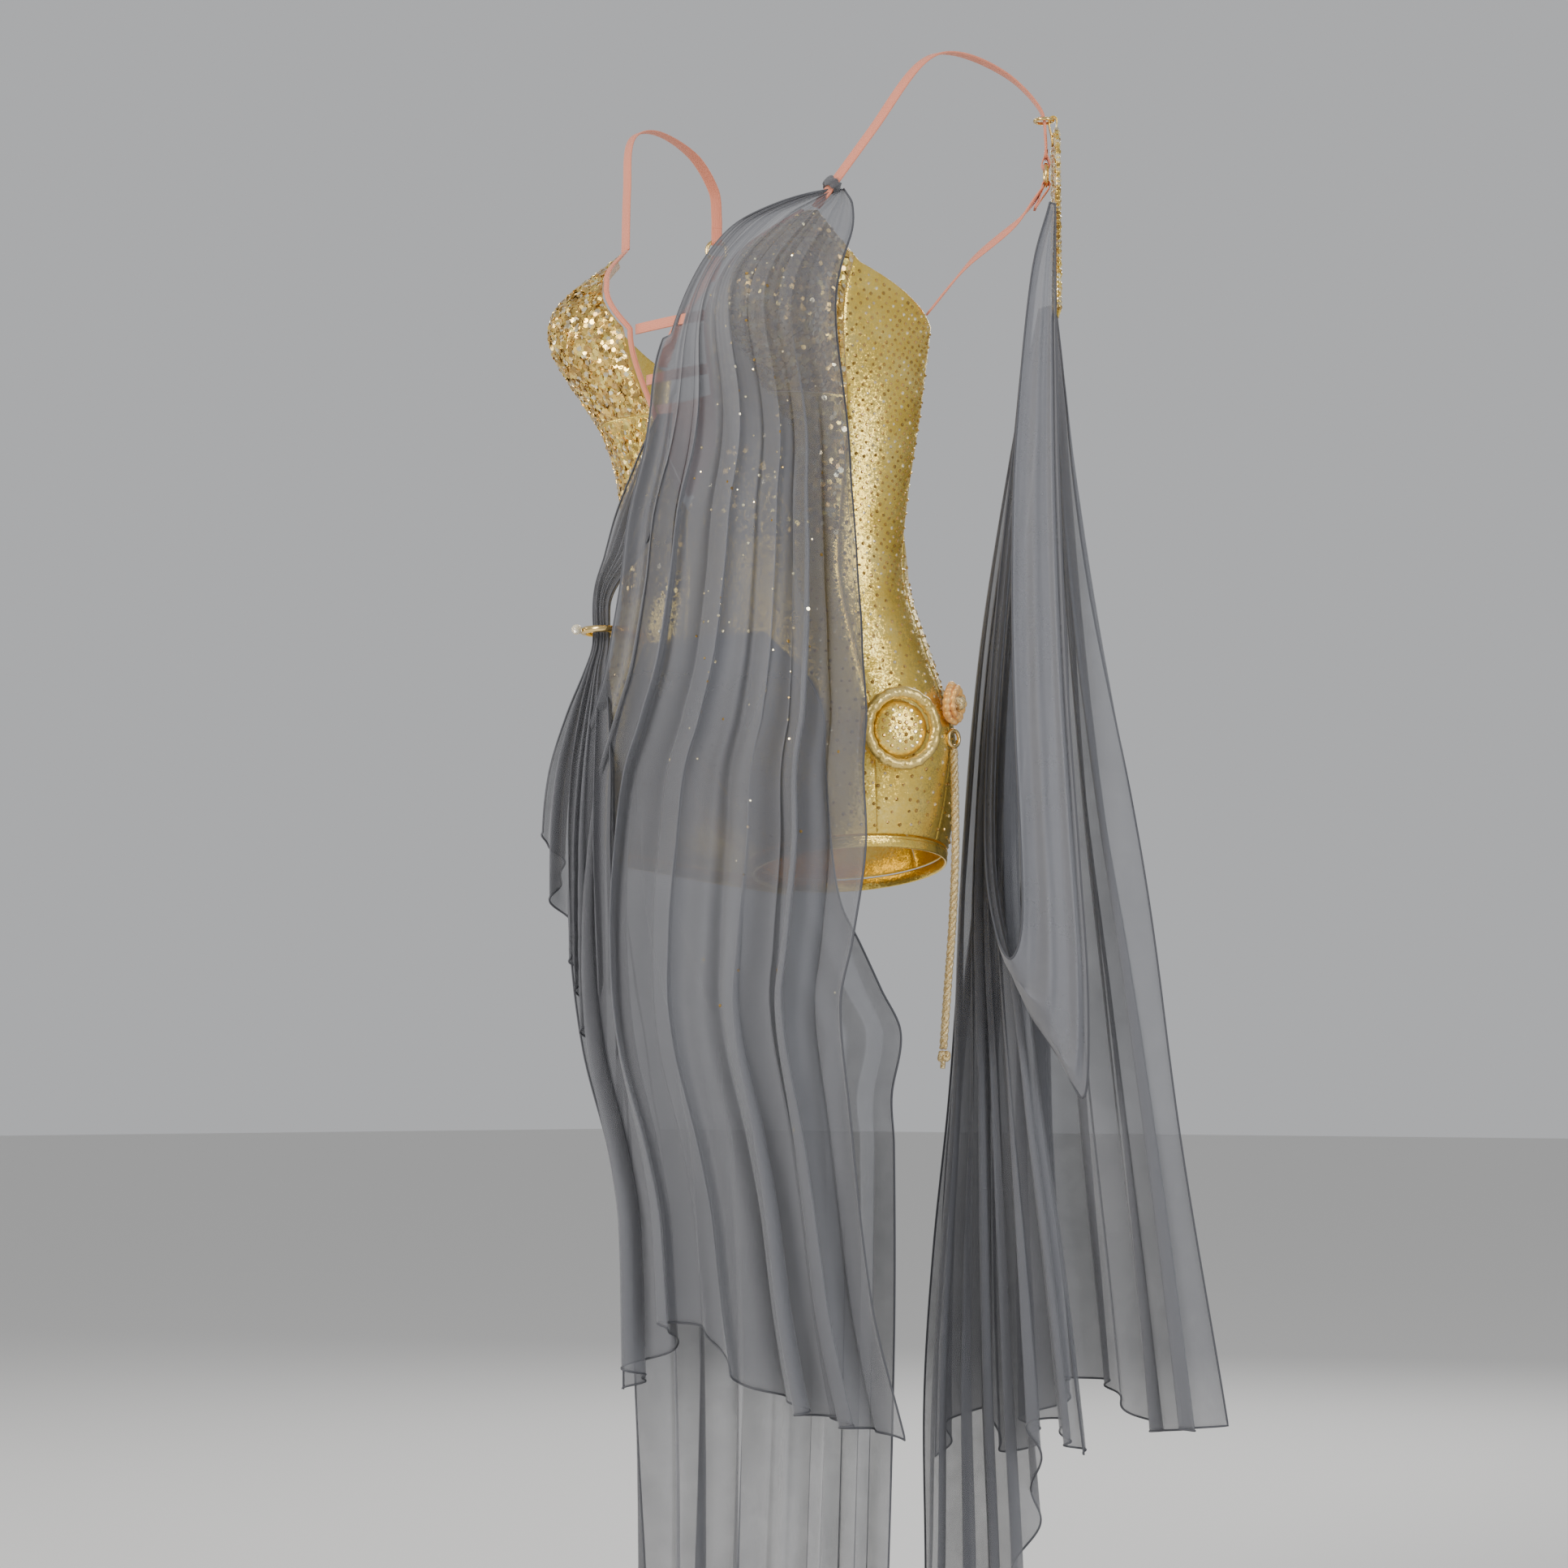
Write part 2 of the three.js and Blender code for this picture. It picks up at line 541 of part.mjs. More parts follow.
// ---- hanging cord ----
function addHipCord() {
  const top = bodyPoint(1, ROSETTE.angle, ROSETTE.z, SHELL + 8);
  const keeperZ = ROSETTE.z - ROSETTE.radius - KEEPER.radius - KEEPER.wire - 1;
  const keeper = new THREE.TorusGeometry(KEEPER.radius, KEEPER.wire, 8, 14);
  const keeperMesh = addPiece('cord_keeper_ring', keeper.rotateX(Math.PI / 2).rotateZ(Math.PI / 2), 'brass');
  keeperMesh.position.set(top.x, top.y, keeperZ);
  const start = keeperZ - KEEPER.radius - KEEPER.wire - 0.5;
  const route = new THREE.CatmullRomCurve3([
    new THREE.Vector3(top.x, top.y, start),
    new THREE.Vector3(top.x + 1, top.y, -560),
    new THREE.Vector3(top.x + 1, top.y, -600),
    new THREE.Vector3(top.x - 2, top.y, -650),
    new THREE.Vector3(top.x - 7, top.y, -700),
    new THREE.Vector3(top.x - 11, top.y, CORD.endZ),
  ], false, 'centripetal');
  const section = new THREE.Shape();
  section.absarc(0, 0, CORD.diameter / 2, 0, Math.PI * 2);
  const tube = new THREE.ExtrudeGeometry(section, {
    steps: 12, curveSegments: 5, extrudePath: route, bevelEnabled: false,
  });
  addPiece('hip_cord', tube, 'cord');
  const end = route.getPoint(1);
  const knot = lathe([
    [0, -CORD.knotLength], [CORD.knot * 0.7, -CORD.knotLength + 2], [CORD.knot * 0.5, -CORD.knotLength + 6],
    [CORD.knot, -CORD.knotLength * 0.4], [CORD.knot * 0.6, -0.8], [0, -0.4],
  ], 12);
  addPiece('cord_knot', knot, 'cord').position.copy(end);
}

addHipCord();

// ---- front drape ----
// Cloth point: on the body above FALL_Z, hanging straight down from it below.
function clothPoint(angle, z, offset) {
  const side = angle < 0 ? -1 : 1;
  const onBody = bodyPoint(side, Math.abs(angle), Math.max(z, FALL_Z), offset);
  return onBody.setZ(z);
}

function clothSolid(columns, heights, edges, inner, outer) {
  const rows = heights.length - 1;
  return gridSolid(columns, rows, (u, v, face) => {
    const z = heights[Math.round(v * rows)];
    const angle = lerp(along(edges.right, z), along(edges.left, z), u);
    return clothPoint(angle, z, face ? outer : inner);
  });
}

function addFrontDrape() {
  const edges = {
    right: [[-120, 42], [-134, 14], [-176, 8], [-226, -1], [-302, -7], [-350, -14], [-405, -17], [-460, -18],
      [-490, -24], [-530, -32], [-570, -36], [-680, -35], [-800, -20], [-860, -12], [DRAPE_HEM_Z, -7]],
    left: [[-120, 50], [-154, 58], [-266, 59], [-394, 66], [-488, 60], [-574, 52], [-650, 54],
      [-700, 51], [-800, 54], [-920, 59], [DRAPE_HEM_Z, 67]],
  };
  const heights = [-120, -134, -154, -176, -200, -226, -266, -302, -350, -405, -432, -460, -490, -530,
    -570, -680, -800, -860, -930, DRAPE_HEM_Z];
  addPiece('front_drape', clothSolid(8, heights, edges, CHIFFON.overBody,
    CHIFFON.overBody + CHIFFON.folds), 'chiffon');
  const under = {
    right: [[UNDER_TOP_Z, -30], [-560, -40], [-700, -34], [-800, -20], [-950, -11], [UNDER_HEM_Z, -9]],
    left: [[UNDER_TOP_Z, 10], [-560, 40], [-700, 62], [-800, 66], [UNDER_HEM_Z, 62]],
  };
  const underHeights = [UNDER_TOP_Z, -500, -540, -600, -700, -800, -950, -1100, UNDER_HEM_Z];
  addPiece('under_drape', clothSolid(6, underHeights, under, CHIFFON.underBody,
    CHIFFON.underBody + CHIFFON.underFolds), 'chiffon');
  addPiece('hip_drape', hipDrapeSolid(), 'chiffon');
}

// The cloth that comes down through the hip ring, in the ring's own directions: across is
// level and along the body, out is straight away from it. Its top lies over the body, inside
// the ring it is a bunch that nearly fills it, and below the ring it hangs clear of the body.
function hipDrapeSolid() {
  const ring = hipRingGroup();
  ring.updateMatrixWorld(true);
  const bunch = (HIP_RING.radius - HIP_RING.wire - BUNCH_CLEARANCE) / Math.SQRT2;
  const throughRing = { across: [-bunch, bunch], out: [2 - bunch, bunch - BUNCH_BOW] };
  const offBody = (from, to) => [from - HIP_RING_STANDOFF, to - HIP_RING_STANDOFF];
  const rows = [
    { z: -352, across: [-6, 8], out: offBody(17.6, 21.6) },
    { z: -396, across: [-8, 9], out: offBody(15.6, 27.6) },
    { z: HIP_RING.z + 12, ...throughRing },
    { z: HIP_RING.z - 12, ...throughRing },
    { z: -470, across: [-20, 18], out: offBody(23.6, 33.6) },
    { z: -520, across: [-26, 40], out: offBody(33.6, 41.6) },
    { z: -580, across: [-30, 52], out: offBody(37.6, 47.6), slope: 0.12 },
    { z: -660, across: [-30, 58], out: offBody(37.6, 47.6), slope: 0.4 },
    { z: -750, across: [-28, 60], out: offBody(35.6, 45.6), slope: 0.7 },
    { z: HIP_DRAPE_HEM_Z, across: [-26, 62], out: offBody(33.6, 43.6), slope: 1 },
  ];
  const last = rows.length - 1;
  return gridSolid(4, last, (u, v, face) => {
    const row = rows[Math.round(v * last)];
    const bow = 1 - (2 * u - 1) ** 2;
    const out = lerp(row.out[0], row.out[1], face) + BUNCH_BOW * bow;
    const z = row.z + HIP_DRAPE_SLOPE * (row.slope ?? 0) * u;
    return ring.localToWorld(new THREE.Vector3(lerp(row.across[0], row.across[1], u), out, z - HIP_RING.z));
  });
}

function addDrapeKeeper() {
  const at = 0.07;
  const keeper = new THREE.TorusGeometry(ELASTIC.width / 2 + 3.2, 1.8, 8, 16);
  const mesh = addPiece('drape_keeper', keeper, 'chiffon');
  mesh.position.copy(leftStrap.getPointAt(at));
  mesh.quaternion.setFromUnitVectors(new THREE.Vector3(0, 0, 1), leftStrap.getTangentAt(at));
}

addFrontDrape();
addDrapeKeeper();

// ---- shoulder cape ----
// Point of the cape: out from the band's middle, along its width, at a height.
function capePoint(out, wide, z) {
  return new THREE.Vector3(STRAP_RING.x, STRAP_RING.y, z)
    .addScaledVector(outwardX, CAPE_BAND.fromStrap + out)
    .addScaledVector(alongX, wide);
}

// A hanging layer: each row has its height, its two ends across the band and how far out it is.
function capeLayer(rows, thick) {
  const last = rows.length - 1;
  return gridSolid(4, last, (u, v, face) => {
    const row = rows[Math.round(v * last)];
    return capePoint(lerp(row.out[0], row.out[1], u) + thick * face, lerp(row.wide[0], row.wide[1], u), row.z);
  });
}

// Place on the left strap, behind the shoulder, at a height.
function strapAt(curve, z) {
  let t = 1;
  while (t > 0.5 && curve.getPointAt(t).z < z) t -= 0.002;
  return t;
}

function addCape() {
  const { bottom, width, thick } = CAPE_BAND;
  const t = strapAt(leftStrap, CAPE_LOOP.z);
  const loop = new THREE.TorusGeometry(CAPE_LOOP.radius, CAPE_LOOP.wire, 8, 16);
  const loopMesh = addPiece('cape_loop', loop, 'brass');
  loopMesh.position.copy(leftStrap.getPointAt(t));
  const top = CAPE_LOOP.z - CAPE_LOOP.radius;
  addPiece('cape_band', capeLayer([
    { z: top, wide: [-width * 0.3, width * 0.3], out: [0, 0] },
    { z: top - 14, wide: [-width / 2, width / 2], out: [0, 0] },
    { z: (top + bottom) / 2, wide: [-width / 2, width / 2], out: [0, 0] },
    { z: bottom, wide: [-width / 2, width / 2], out: [0, 0] },
  ], thick), 'gold');
  const start = bottom - 0.6;
  // The outer layer falls from the back half of the band and fans out behind the hip.
  addPiece('cape_outer_layer', capeLayer([
    { z: start, wide: [21, -1], out: [0, 0] },
    { z: -314, wide: [44, -36], out: [-12, 12] },
    { z: -426, wide: [58, -44], out: [-28, 25] },
    { z: -562, wide: [70, -50], out: [-50, 48] },
    { z: -684, wide: [78, -54], out: [-66, 67] },
    { z: -806, wide: [84, -56], out: [-78, 86] },
    { z: -926, wide: [90, -58], out: [-84, 104] },
    { z: CAPE_HEM_Z, wide: [96, -60], out: [-88, 120] },
  ], CAPE_LAYER), 'chiffon');
  // The swag falls from the front half of the band and ends in a loop.
  addPiece('cape_swag_layer', capeLayer([
    { z: start, wide: [-6, -21], out: [0, 0] },
    { z: -314, wide: [-52, -66], out: [-22, 0] },
    { z: -426, wide: [-60, -76], out: [-30, 10] },
    { z: -562, wide: [-66, -84], out: [-36, 22] },
    { z: -684, wide: [-68, -84], out: [-34, 30] },
    { z: SWAG_HEM_Z, wide: [-64, -80], out: [-10, 44] },
  ], CAPE_LAYER), 'chiffon');
  // The train hangs inside the outer layer, below the swag, and reaches furthest down.
  addPiece('cape_train_layer', capeLayer([
    { z: SWAG_HEM_Z - CAPE_LAYER, wide: [10, -44], out: [-80, -16] },
    { z: -884, wide: [16, -50], out: [-92, -4] },
    { z: -1000, wide: [20, -54], out: [-100, 10] },
    { z: -1120, wide: [22, -56], out: [-104, 20] },
    { z: TRAIN_HEM_Z, wide: [24, -58], out: [-108, 26] },
  ], CAPE_LAYER), 'chiffon');
}

addCape();

export default uniform;
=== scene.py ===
import math

import bmesh
import bpy
import numpy as np
from mathutils import Matrix, Vector


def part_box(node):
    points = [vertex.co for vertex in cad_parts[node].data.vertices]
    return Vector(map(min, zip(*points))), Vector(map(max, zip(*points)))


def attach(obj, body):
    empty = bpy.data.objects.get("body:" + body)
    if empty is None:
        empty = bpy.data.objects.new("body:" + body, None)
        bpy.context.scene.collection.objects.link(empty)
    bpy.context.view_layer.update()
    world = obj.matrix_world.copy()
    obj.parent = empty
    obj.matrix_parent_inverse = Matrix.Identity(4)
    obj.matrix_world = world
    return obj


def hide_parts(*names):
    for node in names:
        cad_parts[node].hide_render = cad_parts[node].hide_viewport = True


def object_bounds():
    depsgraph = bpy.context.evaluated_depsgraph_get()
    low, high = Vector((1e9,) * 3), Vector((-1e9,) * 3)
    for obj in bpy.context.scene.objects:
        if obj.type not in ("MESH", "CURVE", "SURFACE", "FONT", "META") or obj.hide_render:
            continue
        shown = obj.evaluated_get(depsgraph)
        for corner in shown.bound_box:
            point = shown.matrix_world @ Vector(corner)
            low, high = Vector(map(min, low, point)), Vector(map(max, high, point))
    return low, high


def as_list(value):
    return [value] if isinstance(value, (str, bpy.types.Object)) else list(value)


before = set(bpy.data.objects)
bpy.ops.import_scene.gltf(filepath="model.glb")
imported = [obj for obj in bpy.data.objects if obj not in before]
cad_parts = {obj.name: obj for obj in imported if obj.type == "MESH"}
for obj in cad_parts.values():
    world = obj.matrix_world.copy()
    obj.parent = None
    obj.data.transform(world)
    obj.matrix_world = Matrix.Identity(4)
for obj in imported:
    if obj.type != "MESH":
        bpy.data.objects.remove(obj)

cad_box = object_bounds()

# ---------------------------------------------------------------------------------------
# Studio: a camera low in front and to the wearer's left, a pale floor below the hanging
# hems, and large soft lights.
# ---------------------------------------------------------------------------------------
VIEW_TURN = math.radians(42.0)      # round from the front towards the wearer's left
VIEW_LIFT = math.radians(5.3)       # the camera looks slightly up
VIEW_HEADING = math.radians(41.75)
VIEW_DISTANCE = 2.5
CAMERA_HEIGHT = -0.773
TORSO_Y = -0.034                    # the body's axis lies in front of the shoulder line
LENS = 76.4
FLOOR_DROP = 0.02

camera_data = bpy.data.cameras.new("camera")
camera_data.lens = LENS
camera_data.sensor_width = 36.0
camera = bpy.data.objects.new("camera", camera_data)
bpy.context.collection.objects.link(camera)
camera.location = (VIEW_DISTANCE * math.sin(VIEW_TURN),
                   TORSO_Y - VIEW_DISTANCE * math.cos(VIEW_TURN), CAMERA_HEIGHT)
heading = Vector((-math.sin(VIEW_HEADING) * math.cos(VIEW_LIFT),
                  math.cos(VIEW_HEADING) * math.cos(VIEW_LIFT), math.sin(VIEW_LIFT)))
camera.rotation_euler = heading.to_track_quat("-Z", "Y").to_euler()
bpy.context.scene.camera = camera

floor_z = cad_box[0][2] - FLOOR_DROP
bpy.ops.object.select_all(action="DESELECT")
bpy.ops.mesh.primitive_plane_add(size=60, location=(0, 0, floor_z))
floor = bpy.context.object
floor.name = "studio_floor"
floor_look = bpy.data.materials.new("studio_floor")
floor_look.use_nodes = True
floor_look.node_tree.nodes["Principled BSDF"].inputs["Base Color"].default_value = (0.74, 0.73, 0.71, 1)
floor_look.node_tree.nodes["Principled BSDF"].inputs["Roughness"].default_value = 0.85
floor.data.materials.append(floor_look)

world = bpy.data.worlds.new("studio")
bpy.context.scene.world = world
world.use_nodes = True
world.node_tree.nodes["Background"].inputs["Color"].default_value = (0.80, 0.81, 0.83, 1)
world.node_tree.nodes["Background"].inputs["Strength"].default_value = 0.62


def softbox(name, place, target, size, power, colour=(1, 1, 1)):
    light = bpy.data.lights.new(name, "AREA")
    light.shape = "RECTANGLE"
    light.size = size[0]
    light.size_y = size[1]
    light.energy = power
    light.color = colour
    lamp = bpy.data.objects.new(name, light)
    bpy.context.collection.objects.link(lamp)
    lamp.location = place
    aim = Vector(target) - Vector(place)
    lamp.rotation_euler = aim.to_track_quat("-Z", "Y").to_euler()


softbox("key", (0.1, -2.6, 0.5), (0, 0, -0.45), (0.8, 1.4), 62, (1.0, 0.97, 0.92))
softbox("side", (2.8, -0.2, 0.3), (0, 0, -0.5), (0.7, 1.6), 34, (0.95, 0.97, 1.0))
softbox("back", (-1.2, 2.4, 0.9), (0, 0, -0.5), (1.2, 1.2), 40)
softbox("right", (-2.4, -1.4, 0.2), (0, 0, -0.5), (0.6, 1.6), 18)
bpy.context.scene.cycles.transparent_max_bounces = 64

# ---------------------------------------------------------------------------------------
# Hip cord: three yarns of gilt glitter thread twisted together, tied off in a small knot.
# It hangs by its own weight from the ring under the rosette.
# ---------------------------------------------------------------------------------------
CORD_START_GAP = 0.0005
CORD_TWIST = 0.016                  # length of one full turn of the yarns
YARN_RADIUS = 0.00165
YARN_CENTRE = 0.00150               # how far each yarn lies from the cord's middle line
KNOT_RADIUS = 0.0031
# The cord's line: x from its exit, and height.
CORD_ROUTE = [(0.001, -0.560), (0.001, -0.600), (-0.002, -0.650), (-0.007, -0.700), (-0.011, -0.741)]


def box_centre(node):
    low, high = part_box(node)
    return (Vector(low) + Vector(high)) / 2


def smooth_values(places, values, at):
    """Cubic through the values at rising places, as numpy arrays."""
    places = np.asarray(places, float)
    values = np.asarray(values, float)
    slopes = np.empty_like(values)
    slopes[1:-1] = ((values[2:] - values[:-2]).T / (places[2:] - places[:-2])).T
    slopes[0] = (values[1] - values[0]) / (places[1] - places[0])
    slopes[-1] = (values[-1] - values[-2]) / (places[-1] - places[-2])
    at = np.clip(np.asarray(at, float), places[0], places[-1])
    i = np.clip(np.searchsorted(places, at, side="right") - 1, 0, len(places) - 2)
    span = places[i + 1] - places[i]
    t = (at - places[i]) / span
    if values.ndim > 1:
        t = t[..., None]
        span = span[..., None]
    return ((2 * t ** 3 - 3 * t ** 2 + 1) * values[i] + (t ** 3 - 2 * t ** 2 + t) * span * slopes[i]
            + (3 * t ** 2 - 2 * t ** 3) * values[i + 1] + (t ** 3 - t ** 2) * span * slopes[i + 1])


def smooth_route(points, count):
    """Evenly spaced points on a smooth curve through the given points."""
    points = np.array(points, float)
    steps = np.linalg.norm(np.diff(points, axis=0), axis=1)
    places = np.concatenate([[0], np.cumsum(np.sqrt(steps))])
    fine = smooth_values(places, points, np.linspace(0, places[-1], 400))
    lengths = np.concatenate([[0], np.cumsum(np.linalg.norm(np.diff(fine, axis=0), axis=1))])
    even = np.linspace(0, lengths[-1], count)
    return np.stack([np.interp(even, lengths, fine[:, k]) for k in range(3)], 1)


def mesh_piece(name, vertices, faces):
    """Smooth-shaded object from points and faces, with its normals turned outwards."""
    mesh = bpy.data.meshes.new(name)
    mesh.from_pydata([tuple(v) for v in vertices], [], [tuple(int(i) for i in f) for f in faces])
    mesh.update()
    piece = bpy.data.objects.new(name, mesh)
    bpy.context.collection.objects.link(piece)
    work = bmesh.new()
    work.from_mesh(mesh)
    bmesh.ops.recalc_face_normals(work, faces=work.faces)
    work.to_mesh(mesh)
    work.free()
    mesh.shade_smooth()
    return piece


def swept_faces(count, sides, closed=False):
    """Faces of a tube of rings, with its two ends capped unless it closes on itself."""
    faces = []
    for j in range(count if closed else count - 1):
        a, b = j * sides, ((j + 1) % count) * sides
        for i in range(sides):
            k = (i + 1) % sides
            faces.append((a + i, a + k, b + k, b + i))
    if not closed:
        faces.append(tuple(range(sides))[::-1])
        faces.append(tuple((count - 1) * sides + i for i in range(sides)))
    return faces


def directions_along(points, across, closed=False):
    """Unit directions across and off the surface of a band, at each point of its middle line."""
    if closed:
        tangents = np.roll(points, -1, axis=0) - np.roll(points, 1, axis=0)
    else:
        tangents = np.gradient(points, axis=0)
    tangents /= np.linalg.norm(tangents, axis=1)[:, None]
    across = np.broadcast_to(np.asarray(across, float), points.shape).copy()
    across -= tangents * np.sum(across * tangents, axis=1)[:, None]
    across /= np.linalg.norm(across, axis=1)[:, None]
    return across, np.cross(tangents, across)


def swept_band(name, points, across, section, closed=False):
    """Solid of one section, (across, off) points in metres, carried along a line."""
    points = np.asarray(points, float)
    wide, off = directions_along(points, across, closed)
    section = np.asarray(section, float)
    rings = (points[:, None, :] + section[None, :, :1] * wide[:, None, :]
             + section[None, :, 1:] * off[:, None, :])
    faces = swept_faces(len(points), len(section), closed)
    return mesh_piece(name, rings.reshape(-1, 3), faces)


def round_section(radius, sides):
    turns = np.arange(sides) * 2 * math.pi / sides
    return [(radius * math.cos(t), radius * math.sin(t)) for t in turns]


def band_section(width, thick):
    """Flat band whose two edges are rounded over."""
    half, r = width / 2 - thick / 2, thick / 2
    turns = np.linspace(-math.pi / 2, math.pi / 2, 4)
    right = [(half + r * math.cos(t), r * math.sin(t)) for t in turns]
    left = [(-x, -y) for x, y in right]
    return right + left


def joined(name, parts):
    bpy.ops.object.select_all(action="DESELECT")
    for part in parts:
        part.select_set(True)
    bpy.context.view_layer.objects.active = parts[0]
    bpy.ops.object.join()
    parts[0].name = name
    parts[0].data.name = name
    return parts[0]


def new_look(name, colour, roughness, metallic=0.0):
    """A material, its node tree and its shader."""
    look = bpy.data.materials.new(name)
    look.use_nodes = True
    tree = look.node_tree
    shader = tree.nodes["Principled BSDF"]
    shader.inputs["Base Color"].default_value = (*colour, 1)
    shader.inputs["Roughness"].default_value = roughness
    shader.inputs["Metallic"].default_value = metallic
    return look, tree, shader


def feed(tree, kind, inputs=None, **settings):
    """A new shader node, with each input linked to a socket or set to a value."""
    node = tree.nodes.new(kind)
    for key, value in settings.items():
        setattr(node, key, value)
    for key, value in (inputs or {}).items():
        if isinstance(value, bpy.types.NodeSocket):
            tree.links.new(value, node.inputs[key])
        else:
            node.inputs[key].default_value = value
    return node


def ramp(tree, factor, stops):
    """Colour that runs through the given (place, colour) stops."""
    node = feed(tree, "ShaderNodeValToRGB", {"Fac": factor})
    elements = node.color_ramp.elements
    while len(elements) < len(stops):
        elements.new(0.5)
    for element, (place, colour) in zip(elements, stops):
        element.position = place
        element.color = (*colour, 1)
    return node.outputs["Color"]


def bump(tree, shader, height, strength, distance):
    node = feed(tree, "ShaderNodeBump", {"Height": height, "Strength": strength, "Distance": distance})
    tree.links.new(node.outputs["Normal"], shader.inputs["Normal"])


def own_place(tree):
    return feed(tree, "ShaderNodeTexCoord").outputs["Object"]


def glitter_yarn_look():
    look, tree, shader = new_look("glitter_yarn", (0.70, 0.52, 0.24), 0.42, 0.55)
    place = own_place(tree)
    flakes = feed(tree, "ShaderNodeTexVoronoi", {"Vector": place, "Scale": 1500.0})
    colour = ramp(tree, flakes.outputs["Color"], [(0.0, (0.30, 0.19, 0.07)), (0.45, (0.62, 0.44, 0.19)),
                                                  (0.8, (0.86, 0.70, 0.38)), (1.0, (1.0, 0.95, 0.80))])
    tree.links.new(colour, shader.inputs["Base Color"])
    fibre = feed(tree, "ShaderNodeTexNoise", {"Vector": place, "Scale": 2600.0, "Detail": 3.0})
    bump(tree, shader, fibre.outputs["Fac"], 0.5, 0.0004)
    return look


keeper_middle = box_centre("cord_keeper_ring")
cord_exit = Vector((keeper_middle.x, keeper_middle.y,
                    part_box("cord_keeper_ring")[0][2] - CORD_START_GAP))
cord_points = [tuple(cord_exit)] + [(cord_exit.x + dx, cord_exit.y, z) for dx, z in CORD_ROUTE]
cord_path = smooth_route(cord_points, 30)
cord_line = smooth_route(cord_points, 150)
cord_length = float(np.sum(np.linalg.norm(np.diff(cord_line, axis=0), axis=1)))
wide, off = directions_along(cord_line, (0, 1, 0))
run = np.linspace(0, cord_length, len(cord_line))
yarns = []
for k in range(3):
    turn = (run / CORD_TWIST * 2 * math.pi + k * 2 * math.pi / 3)[:, None]
    yarn_line = cord_line + YARN_CENTRE * (np.cos(turn) * wide + np.sin(turn) * off)
    yarns.append(swept_band(f"yarn_{k}", yarn_line, (0, 1, 0), round_section(YARN_RADIUS, 10)))
hip_cord = joined("hip_cord_twisted", yarns)
glitter_yarn = glitter_yarn_look()
hip_cord.data.materials.append(glitter_yarn)

knot_low, knot_high = [Vector(v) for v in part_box("cord_knot")]
knot_middle = (knot_low + knot_high) / 2
knot_turns = np.linspace(0, 2 * math.pi, 90, endpoint=False)
knot_line = np.stack([
    KNOT_RADIUS * (np.sin(knot_turns) + 1.4 * np.sin(2 * knot_turns)) / 2 + knot_middle.x,
    KNOT_RADIUS * (np.cos(knot_turns) - 1.4 * np.cos(2 * knot_turns)) / 2 + knot_middle.y,
    -KNOT_RADIUS * np.sin(3 * knot_turns) * 0.75 + knot_high.z - 0.0052], 1)
knot_loop = swept_band("knot_loop", knot_line, (0.02, 0.03, 1), round_section(0.0018, 10), closed=True)
tail_line = smooth_route([(knot_middle.x, knot_middle.y, knot_high.z - 0.006),
                          (knot_middle.x - 0.0004, knot_middle.y, knot_high.z - 0.010),
                          (knot_middle.x - 0.0010, knot_middle.y + 0.0003, knot_low.z + 0.0006)], 12)
knot_tail = swept_band("knot_tail", tail_line, (0, 1, 0), round_section(0.0019, 10))
cord_knot = joined("hip_cord_knot", [knot_loop, knot_tail])
cord_knot.data.materials.append(glitter_yarn)

for piece, node in ((hip_cord, "hip_cord"), (cord_knot, "cord_knot")):
    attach(piece, "hip_cord_body")
    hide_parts(node)

# ---------------------------------------------------------------------------------------
# Bodysuit panels: stretch knit with gold foil fused to it, cut in pieces and overlocked
# right sides together, so each seam shows as a fine groove. The cups are moulded over foam
# and covered with flat sequins.
# ---------------------------------------------------------------------------------------
# One row per height of the worn form: z, half width, depth in front, depth behind, how far
# the section sits behind the torso axis, and the middle of each leg (metres).
FORM = np.array([
    (-0.070, 0.130, 0.070, 0.092, 0.034, 0.000), (-0.130, 0.136, 0.080, 0.102, 0.020, 0.000),
    (-0.210, 0.136, 0.088, 0.100, 0.006, 0.000), (-0.275, 0.132, 0.086, 0.092, 0.000, 0.000),
    (-0.340, 0.124, 0.085, 0.084, -0.004, 0.000), (-0.395, 0.122, 0.083, 0.082, -0.006, 0.000),
    (-0.450, 0.138, 0.088, 0.096, -0.004, 0.000), (-0.510, 0.156, 0.092, 0.104, 0.000, 0.000),
    (-0.560, 0.150, 0.086, 0.098, 0.002, 0.040), (-0.600, 0.140, 0.076, 0.080, 0.004, 0.072),
    (-0.650, 0.136, 0.070, 0.074, 0.004, 0.074)])
BUST_ANGLE, BUST_SPREAD, BUST_Z, BUST_ABOVE, BUST_BELOW, BUST_DEPTH = 36, 28, -0.196, 0.062, 0.068, 0.072
SHELL = 0.002                       # the panels' outer face off the form
FOIL_THICK = 0.0011
SEAM_GAP = 0.00016
SEAM_DIP, SEAM_ROUND = 0.0007, 0.0012
HEM_GAP = 0.0006                   # gap between a panel and its hem band
BINDING = 0.005
CUP_SEAM_Z = -0.268
FRONT_SEAM, BACK_SEAM = 62.0, 104.0
NECK_BOTTOM_Z = -0.335
BACK_TOP_Z, BACK_DIP_Z = -0.362, -0.452
HEM_Z, HEM_SIDE, HEM_FRONT, HEM_BAND = -0.600, 0.012, 0.004, 0.009


def form_value(column, z):
    return smooth_values(-FORM[:, 0], FORM[:, column], -np.asarray(z, float))


